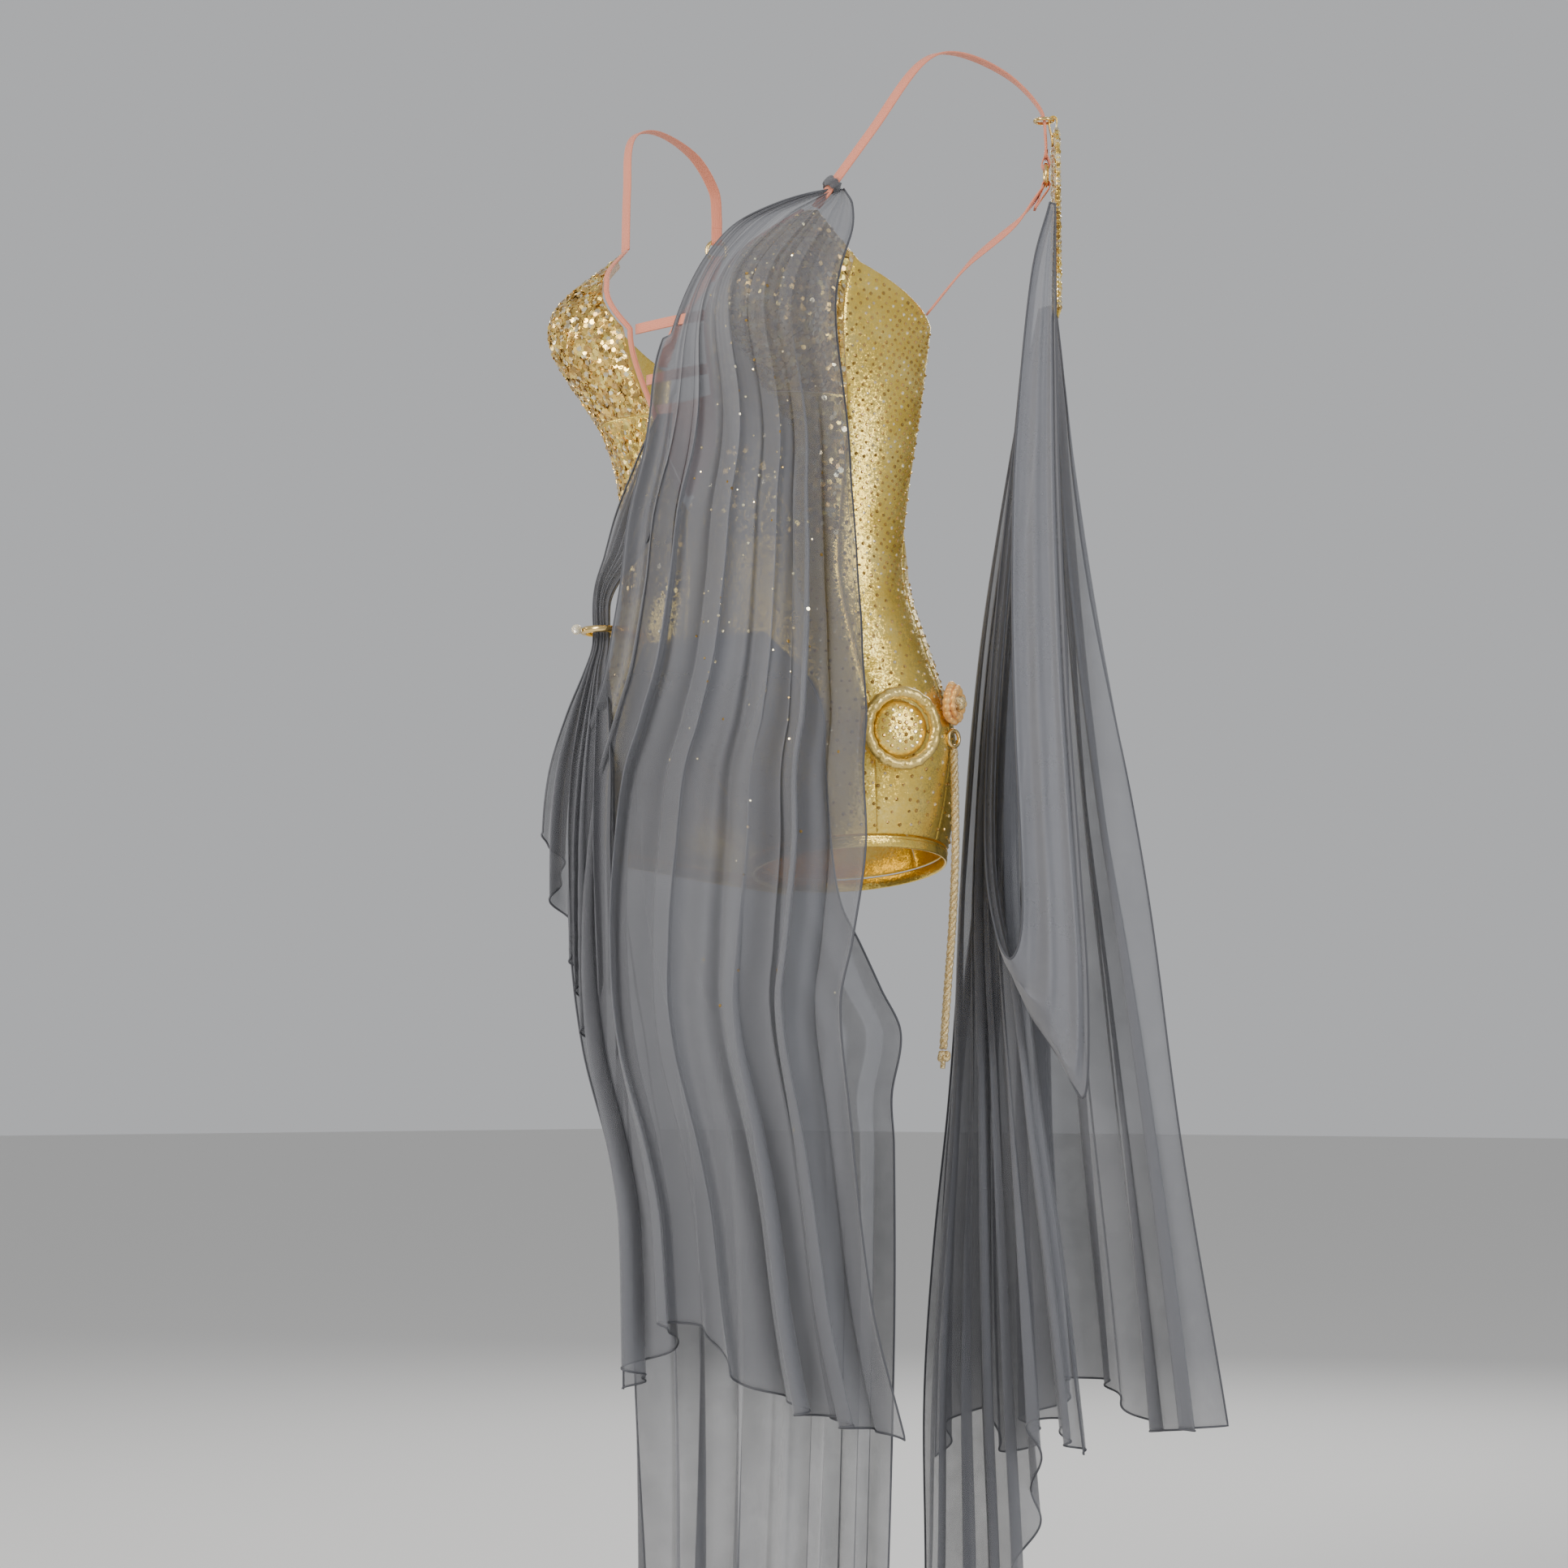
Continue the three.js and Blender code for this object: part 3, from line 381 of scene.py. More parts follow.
def form_point(side, angle, z, offset):
    """Point off the worn form; the angle is 0 in front, 90 at the outer side, 180 behind."""
    angle, z, offset = np.broadcast_arrays(*[np.asarray(a, float) for a in (angle, z, offset)])
    leg = np.maximum(0, form_value(5, z))
    half = form_value(1, z) - leg
    turn = np.radians(angle)
    depth = np.where(np.cos(turn) > 0, form_value(2, z), form_value(3, z))
    nx, ny = np.sin(turn) / half, -np.cos(turn) / depth
    size = np.hypot(nx, ny)
    rise = (z - BUST_Z) / np.where(z > BUST_Z, BUST_ABOVE, BUST_BELOW)
    bust = BUST_DEPTH * np.exp(-((angle - BUST_ANGLE) / BUST_SPREAD) ** 2 - rise ** 2)
    x = leg + half * np.sin(turn) + 0.3 * bust + nx / size * offset
    y = TORSO_Y + form_value(4, z) - depth * np.cos(turn) - 0.95 * bust + ny / size * offset
    return np.stack([side * x, y, z], -1)


def angles_of(length, z):
    """Degrees round the form that a length takes up."""
    return np.degrees(length / (form_value(1, z) - np.maximum(0, form_value(5, z))))


def neck_angle(z):
    """Angle of the V's edge at a height."""
    return np.interp(z, [-0.350, NECK_BOTTOM_Z, -0.322, -0.300, -0.250, -0.205, -0.165, -0.128],
                     [-5, 0.6, 4, 9.5, 11, 11, 22, 37])


def front_edge(z):
    return np.maximum(neck_angle(z) + angles_of(BINDING + SEAM_GAP, z), angles_of(SEAM_GAP / 2, z))


def top_edge(angle):
    return np.interp(angle, [43, 64, 95, BACK_SEAM], [-0.128, -0.170, -0.196, -0.206])


def back_edge(angle):
    share = (angle - BACK_SEAM) / (180 - BACK_SEAM)
    return BACK_TOP_Z + (BACK_DIP_Z - BACK_TOP_Z) * np.sin(share * math.pi / 2)


def hem_edge(angle):
    return HEM_Z + HEM_SIDE * np.sin(np.radians(angle)) + HEM_FRONT * np.cos(np.radians(angle))


def cup_place(u, v, inset=0.0):
    """Angle and height on the cup; both edges depend on the answer, so it is found in steps."""
    bottom = CUP_SEAM_Z + SEAM_GAP / 2 + inset
    angle = FRONT_SEAM * u
    for _ in range(12):
        z = bottom + (top_edge(angle) - inset - bottom) * v
        start = front_edge(z) + angles_of(inset, z)
        end = FRONT_SEAM - angles_of(SEAM_GAP / 2 + inset, z)
        angle = start + (end - start) * u
    return angle, z


def front_place(u, v):
    top = CUP_SEAM_Z - SEAM_GAP / 2
    angle = FRONT_SEAM * u
    for _ in range(3):
        z = hem_edge(angle) + (top - hem_edge(angle)) * v
        start = front_edge(z)
        angle = start + (FRONT_SEAM - angles_of(SEAM_GAP / 2, z) - start) * u
    return angle, z


def side_place(u, v):
    edge = angles_of(SEAM_GAP / 2, BUST_Z)
    angle = FRONT_SEAM + edge + (BACK_SEAM - FRONT_SEAM - 2 * edge) * u
    return angle, hem_edge(angle) + (top_edge(angle) - hem_edge(angle)) * v


def back_place(u, v):
    edge = angles_of(SEAM_GAP / 2, BUST_Z)
    angle = BACK_SEAM + edge + (180 - BACK_SEAM - 2 * edge) * u
    return angle, hem_edge(angle) + (back_edge(angle) - hem_edge(angle)) * v


def crotch_height(angle):
    """Height at which the inner side of a leg meets the other leg."""
    high, low = np.full(angle.shape, -0.510), np.full(angle.shape, -0.650)
    for _ in range(24):
        middle = (high + low) / 2
        apart = form_point(1, angle, middle, SHELL)[..., 0] > SEAM_GAP
        low = np.where(apart, middle, low)
        high = np.where(apart, high, middle)
    return low


def inner_leg_place(u, v):
    edge = angles_of(SEAM_GAP / 2, HEM_Z)
    angle = -edge + (-180 + 2 * edge) * u
    top = crotch_height(angle)
    return angle, hem_edge(angle) + (top - hem_edge(angle)) * v


def place_sense(place):
    return -1 if place is inner_leg_place else 1


def panel_surface(side, place, offset):
    """Surface function of one panel: (u, v) from 0 to 1 gives points facing outwards."""
    def surface(u, v):
        angle, z = place(u if side * place_sense(place) > 0 else 1 - u, v)
        return form_point(side, angle, z, offset)
    return surface


def grid_piece(name, columns, rows, surface, thick):
    """A grid laid on a surface, its edges turned in at the seams, thickened inwards."""
    bpy.ops.object.select_all(action="DESELECT")
    bpy.ops.mesh.primitive_grid_add(x_subdivisions=columns, y_subdivisions=rows, size=1)
    piece = bpy.context.object
    piece.name = name
    piece.data.name = name
    flat = np.empty(len(piece.data.vertices) * 3)
    piece.data.vertices.foreach_get("co", flat)
    flat = flat.reshape(-1, 3)
    u, v = 0.5 - 0.5 * np.cos(math.pi * (flat[:, :2].T + 0.5))
    points = surface(u, v)
    step = 1e-3
    left, right = np.maximum(u - step, 0), np.minimum(u + step, 1)
    down, up = np.maximum(v - step, 0), np.minimum(v + step, 1)
    du = surface(right, v) - surface(left, v)
    dv = surface(u, up) - surface(u, down)
    normal = np.cross(du, dv)
    normal /= np.maximum(np.linalg.norm(normal, axis=1), 1e-12)[:, None]
    wide = np.linalg.norm(du, axis=1) / np.maximum(right - left, 1e-9)
    tall = np.linalg.norm(dv, axis=1) / np.maximum(up - down, 1e-9)
    edge = np.minimum(np.minimum(u, 1 - u) * wide, np.minimum(v, 1 - v) * tall)
    points = points - normal * (SEAM_DIP * np.exp(-edge / SEAM_ROUND))[:, None]
    piece.data.vertices.foreach_set("co", points.ravel())
    solid = piece.modifiers.new("thickness", "SOLIDIFY")
    solid.thickness = thick
    solid.offset = -1
    bpy.ops.object.modifier_apply(modifier="thickness")
    bpy.ops.object.shade_smooth()
    return piece


def foil_look(name, deep, middle, bright, rough, sequins):
    """Crackled foil on knit, or, with sequins, a field of small tilted flat mirrors."""
    look, tree, shader = new_look(name, middle, rough, 0.82)
    place = own_place(tree)
    scale, share, tilting = (240.0, 0.75, 0.75) if sequins else (900.0, 0.30, 0.22)
    flakes = feed(tree, "ShaderNodeTexVoronoi", {"Vector": place, "Scale": scale})
    clouds = feed(tree, "ShaderNodeTexNoise", {"Vector": place, "Scale": 38.0, "Detail": 4.0,
                                               "Roughness": 0.6})
    mixed = feed(tree, "ShaderNodeMath", {0: flakes.outputs["Color"], 1: share}, operation="MULTIPLY")
    cloud = feed(tree, "ShaderNodeMath", {0: clouds.outputs["Fac"], 1: 1 - share, 2: mixed.outputs[0]},
                 operation="MULTIPLY_ADD")
    colour = ramp(tree, cloud.outputs[0], [(0.12, deep), (0.45, middle), (0.85, bright)])
    tree.links.new(colour, shader.inputs["Base Color"])
    tilt = feed(tree, "ShaderNodeVectorMath", {0: flakes.outputs["Color"], 1: (0.5, 0.5, 0.5)},
                operation="SUBTRACT")
    tilt = feed(tree, "ShaderNodeVectorMath", {0: tilt.outputs[0], "Scale": tilting}, operation="SCALE")
    normal = feed(tree, "ShaderNodeNewGeometry").outputs["Normal"]
    normal = feed(tree, "ShaderNodeVectorMath", {0: tilt.outputs[0], 1: normal}, operation="ADD")
    normal = feed(tree, "ShaderNodeVectorMath", {0: normal.outputs[0]}, operation="NORMALIZE")
    knit = feed(tree, "ShaderNodeTexNoise", {"Vector": place, "Scale": 1400.0, "Detail": 2.0})
    bumped = feed(tree, "ShaderNodeBump", {"Height": knit.outputs["Fac"], "Strength": 0.35,
                                           "Distance": 0.0003, "Normal": normal.outputs[0]})
    tree.links.new(bumped.outputs["Normal"], shader.inputs["Normal"])
    return look


cup_foil = foil_look("sequin_foil", (0.36, 0.20, 0.03), (0.78, 0.50, 0.11), (1.0, 0.82, 0.38), 0.30, True)
satin_foil = foil_look("satin_foil", (0.60, 0.38, 0.05), (0.86, 0.60, 0.11), (1.0, 0.82, 0.30), 0.25, False)

PANELS = (("cup_shell", cup_place, 44, 40, cup_foil), ("front_panel", front_place, 40, 90, satin_foil),
          ("side_panel", side_place, 34, 110, satin_foil), ("back_panel", back_place, 44, 70, satin_foil),
          ("inner_leg_panel", inner_leg_place, 60, 30, satin_foil))
HANDS = ((1, "left"), (-1, "right"))
foil_panels = {}
for side, hand in HANDS:
    for kind, place, columns, rows, look in PANELS:
        node = f"{hand}_{kind}"
        piece = grid_piece(f"{node}_sewn", columns, rows, panel_surface(side, place, SHELL), FOIL_THICK)
        piece.data.materials.append(look)
        foil_panels[node] = piece

hem_turn = np.linspace(-180, 180, 120, endpoint=False)
hem_band_z = hem_edge(hem_turn) - HEM_GAP - HEM_BAND / 2
for side, hand in HANDS:
    hem_middle = form_point(side, hem_turn, hem_band_z, SHELL / 2)
    band = swept_band(f"{hand}_leg_hem", hem_middle, (0, 0, 1), band_section(HEM_BAND, 0.0021), closed=True)
    stitches = []
    for row in (-0.0022, 0.0022):
        line = form_point(side, hem_turn, hem_band_z + row, SHELL + 0.00015)
        stitches.append(swept_band("stitch", line, (0, 0, 1), round_section(0.00028, 5), closed=True))
    band = joined(f"{hand}_leg_hem", [band] + stitches)
    band.data.materials.append(satin_foil)
    foil_panels[f"{hand}_leg_hem_band"] = band

for node, piece in foil_panels.items():
    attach(piece, "costume")
    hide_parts(node)

# ---------------------------------------------------------------------------------------
# Cup pads: moulded foam with bevelled edges, sewn inside the cups.
# ---------------------------------------------------------------------------------------
PAD_THICK, PAD_CLEARANCE, PAD_MARGIN = 0.004, 0.0016, 0.009


def foam_look():
    look, tree, shader = new_look("moulded_foam", (0.80, 0.66, 0.53), 0.9)
    cells = feed(tree, "ShaderNodeTexVoronoi", {"Vector": own_place(tree), "Scale": 1100.0})
    bump(tree, shader, cells.outputs["Distance"], 0.4, 0.0003)
    return look


foam = foam_look()
for side, hand in HANDS:
    pad_surface = panel_surface(side, lambda u, v: cup_place(u, v, PAD_MARGIN), -PAD_CLEARANCE)
    pad = grid_piece(f"{hand}_foam_cup", 24, 22, pad_surface, PAD_THICK)
    pad.data.materials.append(foam)
    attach(pad, "costume")
    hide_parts(f"{hand}_cup_pad")

# ---------------------------------------------------------------------------------------
# Sequins and stones: flat round sequins cover the cups and thin out down the front, and
# faceted flat-back stones are glued in zigzag rows on the sides, wider apart on the hips.
# ---------------------------------------------------------------------------------------
GEM_HEIGHT, GEM_SIDES = 0.62, 6     # the height is of its radius
SEQUIN_THICK, SEQUIN_SIDES = 0.00035, 7
SEQUIN_RADIUS, STONE_RADIUS, HIP_STONE_RADIUS = 0.0021, 0.0013, 0.0014
EDGE_MARGIN = 0.02                  # share of a surface's width left bare at each edge


def stacked_rings(rings, sides):
    """Points and faces of (radius, height) rings of corners, closed at both ends."""
    turns = np.arange(sides) * 2 * math.pi / sides
    points = np.array([(r * math.cos(t), r * math.sin(t), h) for r, h in rings for t in turns])
    return points, swept_faces(len(rings), sides)


def gem_shape(radius):
    """A faceted flat-back stone that stands on z = 0."""
    return stacked_rings([(radius, -0.12 * radius), (radius, 0.14 * radius),
                          (0.55 * radius, GEM_HEIGHT * radius)], GEM_SIDES)


def sequin_shape(radius):
    return stacked_rings([(radius, 0), (radius, SEQUIN_THICK)], SEQUIN_SIDES)


def stood_on(name, shape, points, normals, sizes, turns, tilts, looks, choice):
    """One mesh of many small pieces, each standing on its point and turned to its normal."""
    base, faces = shape
    up = normals / np.linalg.norm(normals, axis=1)[:, None]
    up = up + tilts
    up /= np.linalg.norm(up, axis=1)[:, None]
    helper = np.where(np.abs(up[:, 2:]) < 0.9, np.array([[0, 0, 1.0]]), np.array([[1.0, 0, 0]]))
    a = np.cross(helper, up)
    a /= np.linalg.norm(a, axis=1)[:, None]
    b = np.cross(up, a)
    c, s = np.cos(turns)[:, None], np.sin(turns)[:, None]
    a, b = a * c + b * s, b * c - a * s
    scaled = base[None] * sizes[:, None, None]
    places = (points[:, None] + scaled[..., :1] * a[:, None] + scaled[..., 1:2] * b[:, None]
              + scaled[..., 2:] * up[:, None]).reshape(-1, 3)
    count = len(base)
    mesh = bpy.data.meshes.new(name)
    shifted = [tuple(i + k * count for i in f) for k in range(len(points)) for f in faces]
    mesh.from_pydata(places.tolist(), [], shifted)
    mesh.shade_flat()
    piece = bpy.data.objects.new(name, mesh)
    bpy.context.collection.objects.link(piece)
    for look in looks:
        mesh.materials.append(look)
    mesh.polygons.foreach_set("material_index", np.repeat(choice, len(faces)).astype(np.int32))
    return piece


def scattered(surface, spacing, seed, low, high, jitter):
    """Points in staggered rows on a surface with their normals, a set distance apart."""
    luck = np.random.default_rng(seed)
    middle = np.full(200, 0.5)
    column = surface(middle, np.linspace(0, 1, 200))
    tall = np.sum(np.linalg.norm(np.diff(column, axis=0), axis=1))
    rows = max(2, int(tall * (high - low) / (spacing * 0.87)))
    us, vs = [], []
    for row in range(rows):
        v = low + (high - low) * (row + 0.5) / rows
        line = surface(np.linspace(0, 1, 60), np.full(60, v))
        wide = np.sum(np.linalg.norm(np.diff(line, axis=0), axis=1))
        count = int(wide / spacing)
        if count < 1:
            continue
        k = np.arange(count) + (0.25 if row % 2 else 0.75)
        us.append((k + luck.uniform(-jitter, jitter, count)) / count)
        vs.append(v + luck.uniform(-jitter, jitter, count) * (high - low) / rows)
    u = np.clip(np.concatenate(us), EDGE_MARGIN, 1 - EDGE_MARGIN)
    v = np.clip(np.concatenate(vs), EDGE_MARGIN / 2, 1 - EDGE_MARGIN / 2)
    step = 2e-3
    du = surface(u + step, v) - surface(u - step, v)
    dv = surface(u, v + step) - surface(u, v - step)
    return surface(u, v), np.cross(du, dv), luck


def gem_look(name, colour, rough, metallic):
    look, tree, shader = new_look(name, colour, rough, metallic)
    place = own_place(tree)
    each = feed(tree, "ShaderNodeTexVoronoi", {"Vector": place, "Scale": 180.0})
    tint = ramp(tree, each.outputs["Color"], [(0.0, tuple(0.55 * c for c in colour)), (0.5, colour),
                                              (1.0, tuple(min(1, 1.35 * c + 0.08) for c in colour))])
    tree.links.new(tint, shader.inputs["Base Color"])
    shader.inputs["Coat Weight"].default_value = 0.6
    shader.inputs["Coat Roughness"].default_value = 0.05
    return look


topaz = gem_look("topaz_stone", (0.42, 0.25, 0.05), 0.14, 0.55)
champagne = gem_look("champagne_stone", (0.95, 0.80, 0.50), 0.10, 0.75)
sequin_gold = gem_look("gold_sequin", (0.88, 0.58, 0.14), 0.20, 0.9)
sequin_amber = gem_look("amber_sequin", (0.52, 0.31, 0.07), 0.24, 0.9)


def stones_on(name, surface, spacing, radius, seed, low, high, looks, odds, jitter,
              shape=gem_shape, tilt=0.05):
    """Stones or sequins on the part of a surface between two shares of its height."""
    points, normals, luck = scattered(surface, spacing, seed, low, high, jitter)
    count = len(points)
    choice = luck.choice(len(looks), count, p=odds)
    return stood_on(name, shape(radius), points, normals, luck.uniform(0.78, 1.15, count),
                    luck.uniform(0, math.tau, count), luck.normal(0, tilt, (count, 3)), looks, choice)


for side, hand in HANDS:
    cup = panel_surface(side, cup_place, SHELL + 0.0002)
    front = panel_surface(side, front_place, SHELL + 0.0001)
    flank = panel_surface(side, side_place, SHELL + 0.0001)
    back = panel_surface(side, back_place, SHELL + 0.0001)
    dense = 1 if side < 0 else 0.75
    pieces = [
        stones_on(f"{hand}_cup_sequins", cup, 0.0036, SEQUIN_RADIUS, 11 + side, 0.01, 0.99,
                  [sequin_gold, sequin_amber, champagne], [0.62, 0.24, 0.14], 0.35, sequin_shape, 0.22),
        stones_on(f"{hand}_front_sequins", front, 0.0040, SEQUIN_RADIUS, 21 + side, 1 - 0.42 * dense, 0.995,
                  [sequin_gold, sequin_amber, champagne], [0.62, 0.24, 0.14], 0.35, sequin_shape, 0.22),
        stones_on(f"{hand}_front_stones", front, 0.0088, HIP_STONE_RADIUS, 31 + side, 0.01, 1 - 0.42 * dense,
                  [topaz, champagne], [0.7, 0.3], 0.22),
        stones_on(f"{hand}_side_stones", flank, 0.0064, STONE_RADIUS, 41 + side, 0.46, 0.99,
                  [topaz, champagne], [0.78, 0.22], 0.12),
        stones_on(f"{hand}_hip_stones", flank, 0.0096, HIP_STONE_RADIUS, 51 + side, 0.01, 0.46,
                  [topaz, champagne], [0.72, 0.28], 0.2),
        stones_on(f"{hand}_back_stones", back, 0.0100, HIP_STONE_RADIUS, 61 + side, 0.01, 0.97,
                  [topaz, champagne], [0.72, 0.28], 0.2)]
    for piece in pieces:
        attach(piece, "costume")

# ---------------------------------------------------------------------------------------
# Neckline: nude binding folded over the edge of the V, nude mesh in its foot, and two
# elastic bars across it.
# ---------------------------------------------------------------------------------------
BINDING_THICK = 0.0020
BINDING_TOP_Z = -0.1285
MESH_THICK = 0.0005
MESH_BOTTOM_Z, MESH_HEIGHT = -0.3335, 0.0715
BAR_HEIGHT, BAR_THICK = 0.008, 0.0015
SEWING_GAP = 0.0006                 # left between a sewn edge and its neighbour


def elastic_look(name, colour):
    look, tree, shader = new_look(name, colour, 0.62)
    shader.inputs["Sheen Weight"].default_value = 0.25
    ribs = feed(tree, "ShaderNodeAttribute", attribute_name="run")
    run = feed(tree, "ShaderNodeSeparateXYZ", {"Vector": ribs.outputs["Vector"]})
    wave = feed(tree, "ShaderNodeMath", {0: run.outputs["X"], 1: 5200.0}, operation="MULTIPLY")
    wave = feed(tree, "ShaderNodeMath", {0: wave.outputs[0]}, operation="SINE")
    cross = feed(tree, "ShaderNodeMath", {0: run.outputs["Y"], 1: 7000.0}, operation="MULTIPLY")
    cross = feed(tree, "ShaderNodeMath", {0: cross.outputs[0]}, operation="SINE")
    height = feed(tree, "ShaderNodeMath", {0: cross.outputs[0], 1: 0.35, 2: wave.outputs[0]},
                  operation="MULTIPLY_ADD")
    bump(tree, shader, height.outputs[0], 0.45, 0.0003)
    return look


def with_run(piece, count, section):
    """Stores how far across and along the band each point is, for the ribs."""
    run = piece.data.attributes.new("run", "FLOAT_VECTOR", "POINT")
    points = np.empty(len(piece.data.vertices) * 3)
    piece.data.vertices.foreach_get("co", points)
    points = points.reshape(count, len(section), 3)
    middle = points.mean(axis=1)
    along = np.concatenate([[0], np.cumsum(np.linalg.norm(np.diff(middle, axis=0), axis=1))])
    values = np.zeros((count, len(section), 3))
    values[..., 0] = np.array(section)[None, :, 0]
    values[..., 1] = along[:, None]
    run.data.foreach_set("vector", values.ravel())
    return piece


def elastic_band(name, points, across, width, thick, look):
    section = band_section(width, thick)
    piece = with_run(swept_band(name, points, across, section), len(points), section)
    piece.data.materials.append(look)
    return piece


coral = elastic_look("coral_elastic", (0.80, 0.27, 0.16))
costume_bands = []
for side, hand in HANDS:
    heights = np.linspace(NECK_BOTTOM_Z + 0.002, BINDING_TOP_Z, 70)
    middle = neck_angle(heights) + angles_of(BINDING / 2, heights)
    inner = form_point(side, middle - 1, heights, SHELL / 2)
    line = form_point(side, middle, heights, SHELL / 2 + 0.0002)
    piece = elastic_band(f"{hand}_v_binding", line, line - inner, BINDING - SEWING_GAP, BINDING_THICK, coral)
    costume_bands.append((piece, f"{hand}_neckline_binding", "elastic"))

for name, z in (("upper_bridge_bar", -0.206), ("lower_bridge_bar", -0.244)):
    heights = np.array([z - BAR_HEIGHT / 2, z, z + BAR_HEIGHT / 2])
    reach = float(np.min(form_point(1, neck_angle(heights), heights, 0)[:, 0])) - SEWING_GAP
    edge_y = float(form_point(1, neck_angle(z), z, 0)[1]) - BAR_THICK / 2
    across_line = np.array([(x, edge_y - 0.0012 * math.cos(x / reach * math.pi / 2), z)
                            for x in np.linspace(-reach, reach, 14)])
    piece = elastic_band(f"{name}_elastic", across_line, (0, 0, 1), BAR_HEIGHT, BAR_THICK, coral)
    costume_bands.append((piece, name, "elastic"))


def insert_surface(u, v):
    z = MESH_BOTTOM_Z + MESH_HEIGHT * v
    edge = neck_angle(z) - angles_of(SEWING_GAP, z)
    angle = edge * (2 * u - 1)
    point = form_point(1, np.abs(angle), z, 0.001)
    point[..., 0] *= np.sign(angle) + (angle == 0)
    return point


def net_look():
    look, tree, shader = new_look("nude_net", (0.86, 0.38, 0.26), 0.6)
    holes = feed(tree, "ShaderNodeTexVoronoi", {"Vector": own_place(tree), "Scale": 1300.0},
                 feature="DISTANCE_TO_EDGE")
    open_part = feed(tree, "ShaderNodeMapRange", {"Value": holes.outputs["Distance"], "From Min": 0.05,
                                                  "From Max": 0.35, "To Min": 1.0, "To Max": 0.55})
    tree.links.new(open_part.outputs[0], shader.inputs["Alpha"])
    return look


insert = grid_piece("neckline_net", 24, 30, insert_surface, MESH_THICK)
insert.data.materials.append(net_look())
costume_bands.append((insert, "neckline_mesh_insert", "nude_mesh"))
for piece, node, slot in costume_bands:
    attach(piece, "costume")
    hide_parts(node)

# ---------------------------------------------------------------------------------------
# Shoulder straps: coral swimwear elastic, looped round a small gilt ring behind each
# shoulder and tacked to the cup in front and to the side panel under the arm.
# ---------------------------------------------------------------------------------------
STRAP_WIDTH, STRAP_THICK = 0.009, 0.0016
STRAP_RING = np.array([0.171, 0.090, -0.078])
RING_RADIUS, RING_WIRE = 0.008, 0.0016
CAPE_TURN = math.radians(42.0)
OUTWARD = np.array([math.cos(CAPE_TURN), math.sin(CAPE_TURN), 0.0])
ALONG = np.array([-OUTWARD[1], OUTWARD[0], 0.0])


def gilt_look(name, colour, rough):
    look, tree, shader = new_look(name, colour, rough, 1.0)
    wear = feed(tree, "ShaderNodeTexNoise", {"Vector": own_place(tree), "Scale": 420.0, "Detail": 4.0})
    spread = feed(tree, "ShaderNodeMapRange", {"Value": wear.outputs["Fac"], "To Min": rough * 0.7,
                                               "To Max": rough * 1.6})
    tree.links.new(spread.outputs[0], shader.inputs["Roughness"])
    return look


gilt = gilt_look("gilt_wire", (0.83, 0.60, 0.25), 0.18)


def torus_piece(name, radius, wire, centre, normal, look):
    bpy.ops.object.select_all(action="DESELECT")
    bpy.ops.mesh.primitive_torus_add(major_radius=radius, minor_radius=wire,
                                     major_segments=64, minor_segments=20)
    piece = bpy.context.object
    piece.name = name
    turn = Vector((0, 0, 1)).rotation_difference(Vector(normal)).to_matrix().to_4x4()
    piece.data.transform(Matrix.Translation(Vector(centre)) @ turn)
    bpy.ops.object.shade_smooth()
    piece.data.materials.append(look)
    return piece


def strap_lines(side):
    """Middle lines of the elastic over the shoulder and of the one under the arm."""
    flip = np.array([side, 1, 1])
    cup_top = form_point(side, 41.5, -0.128, SHELL / 2) * flip
    side_top = form_point(side, BACK_SEAM - 6, top_edge(BACK_SEAM - 6), SHELL / 2) * flip
    over = [cup_top + (0.001, 0.002, 0.0018),
            ((cup_top[0] + 0.155) / 2, (cup_top[1] - 0.030) / 2, -0.068), (0.149, -0.034, -0.016),
            (0.155, 0, -0.0008), (0.163, 0.052, -0.007), (0.170, 0.085, -0.028), (0.171, 0.090, -0.050),
            STRAP_RING + (0, 0, RING_RADIUS + 0.0048)]
    under = [STRAP_RING - (0.001, 0.003, RING_RADIUS + 0.0032), (0.164, 0.063, -0.118),
             (side_top[0] * 0.6 + 0.171 * 0.4, (side_top[1] + 0.057) / 2, -0.156),
             side_top + (0.0005, 0.0025, 0.0024)]
    return smooth_route(over, 90) * flip, smooth_route(under, 44) * flip


def tacks(name, centre, across, along, look):
    """A bar tack: a close row of thread across the band."""
    line = [centre + across * STRAP_WIDTH * 0.42 * (-1) ** k + along * 0.0003 * k for k in range(12)]
    return elastic_band(name, smooth_route(line, 90), np.cross(across, along), 0.0003, 0.0003, look)


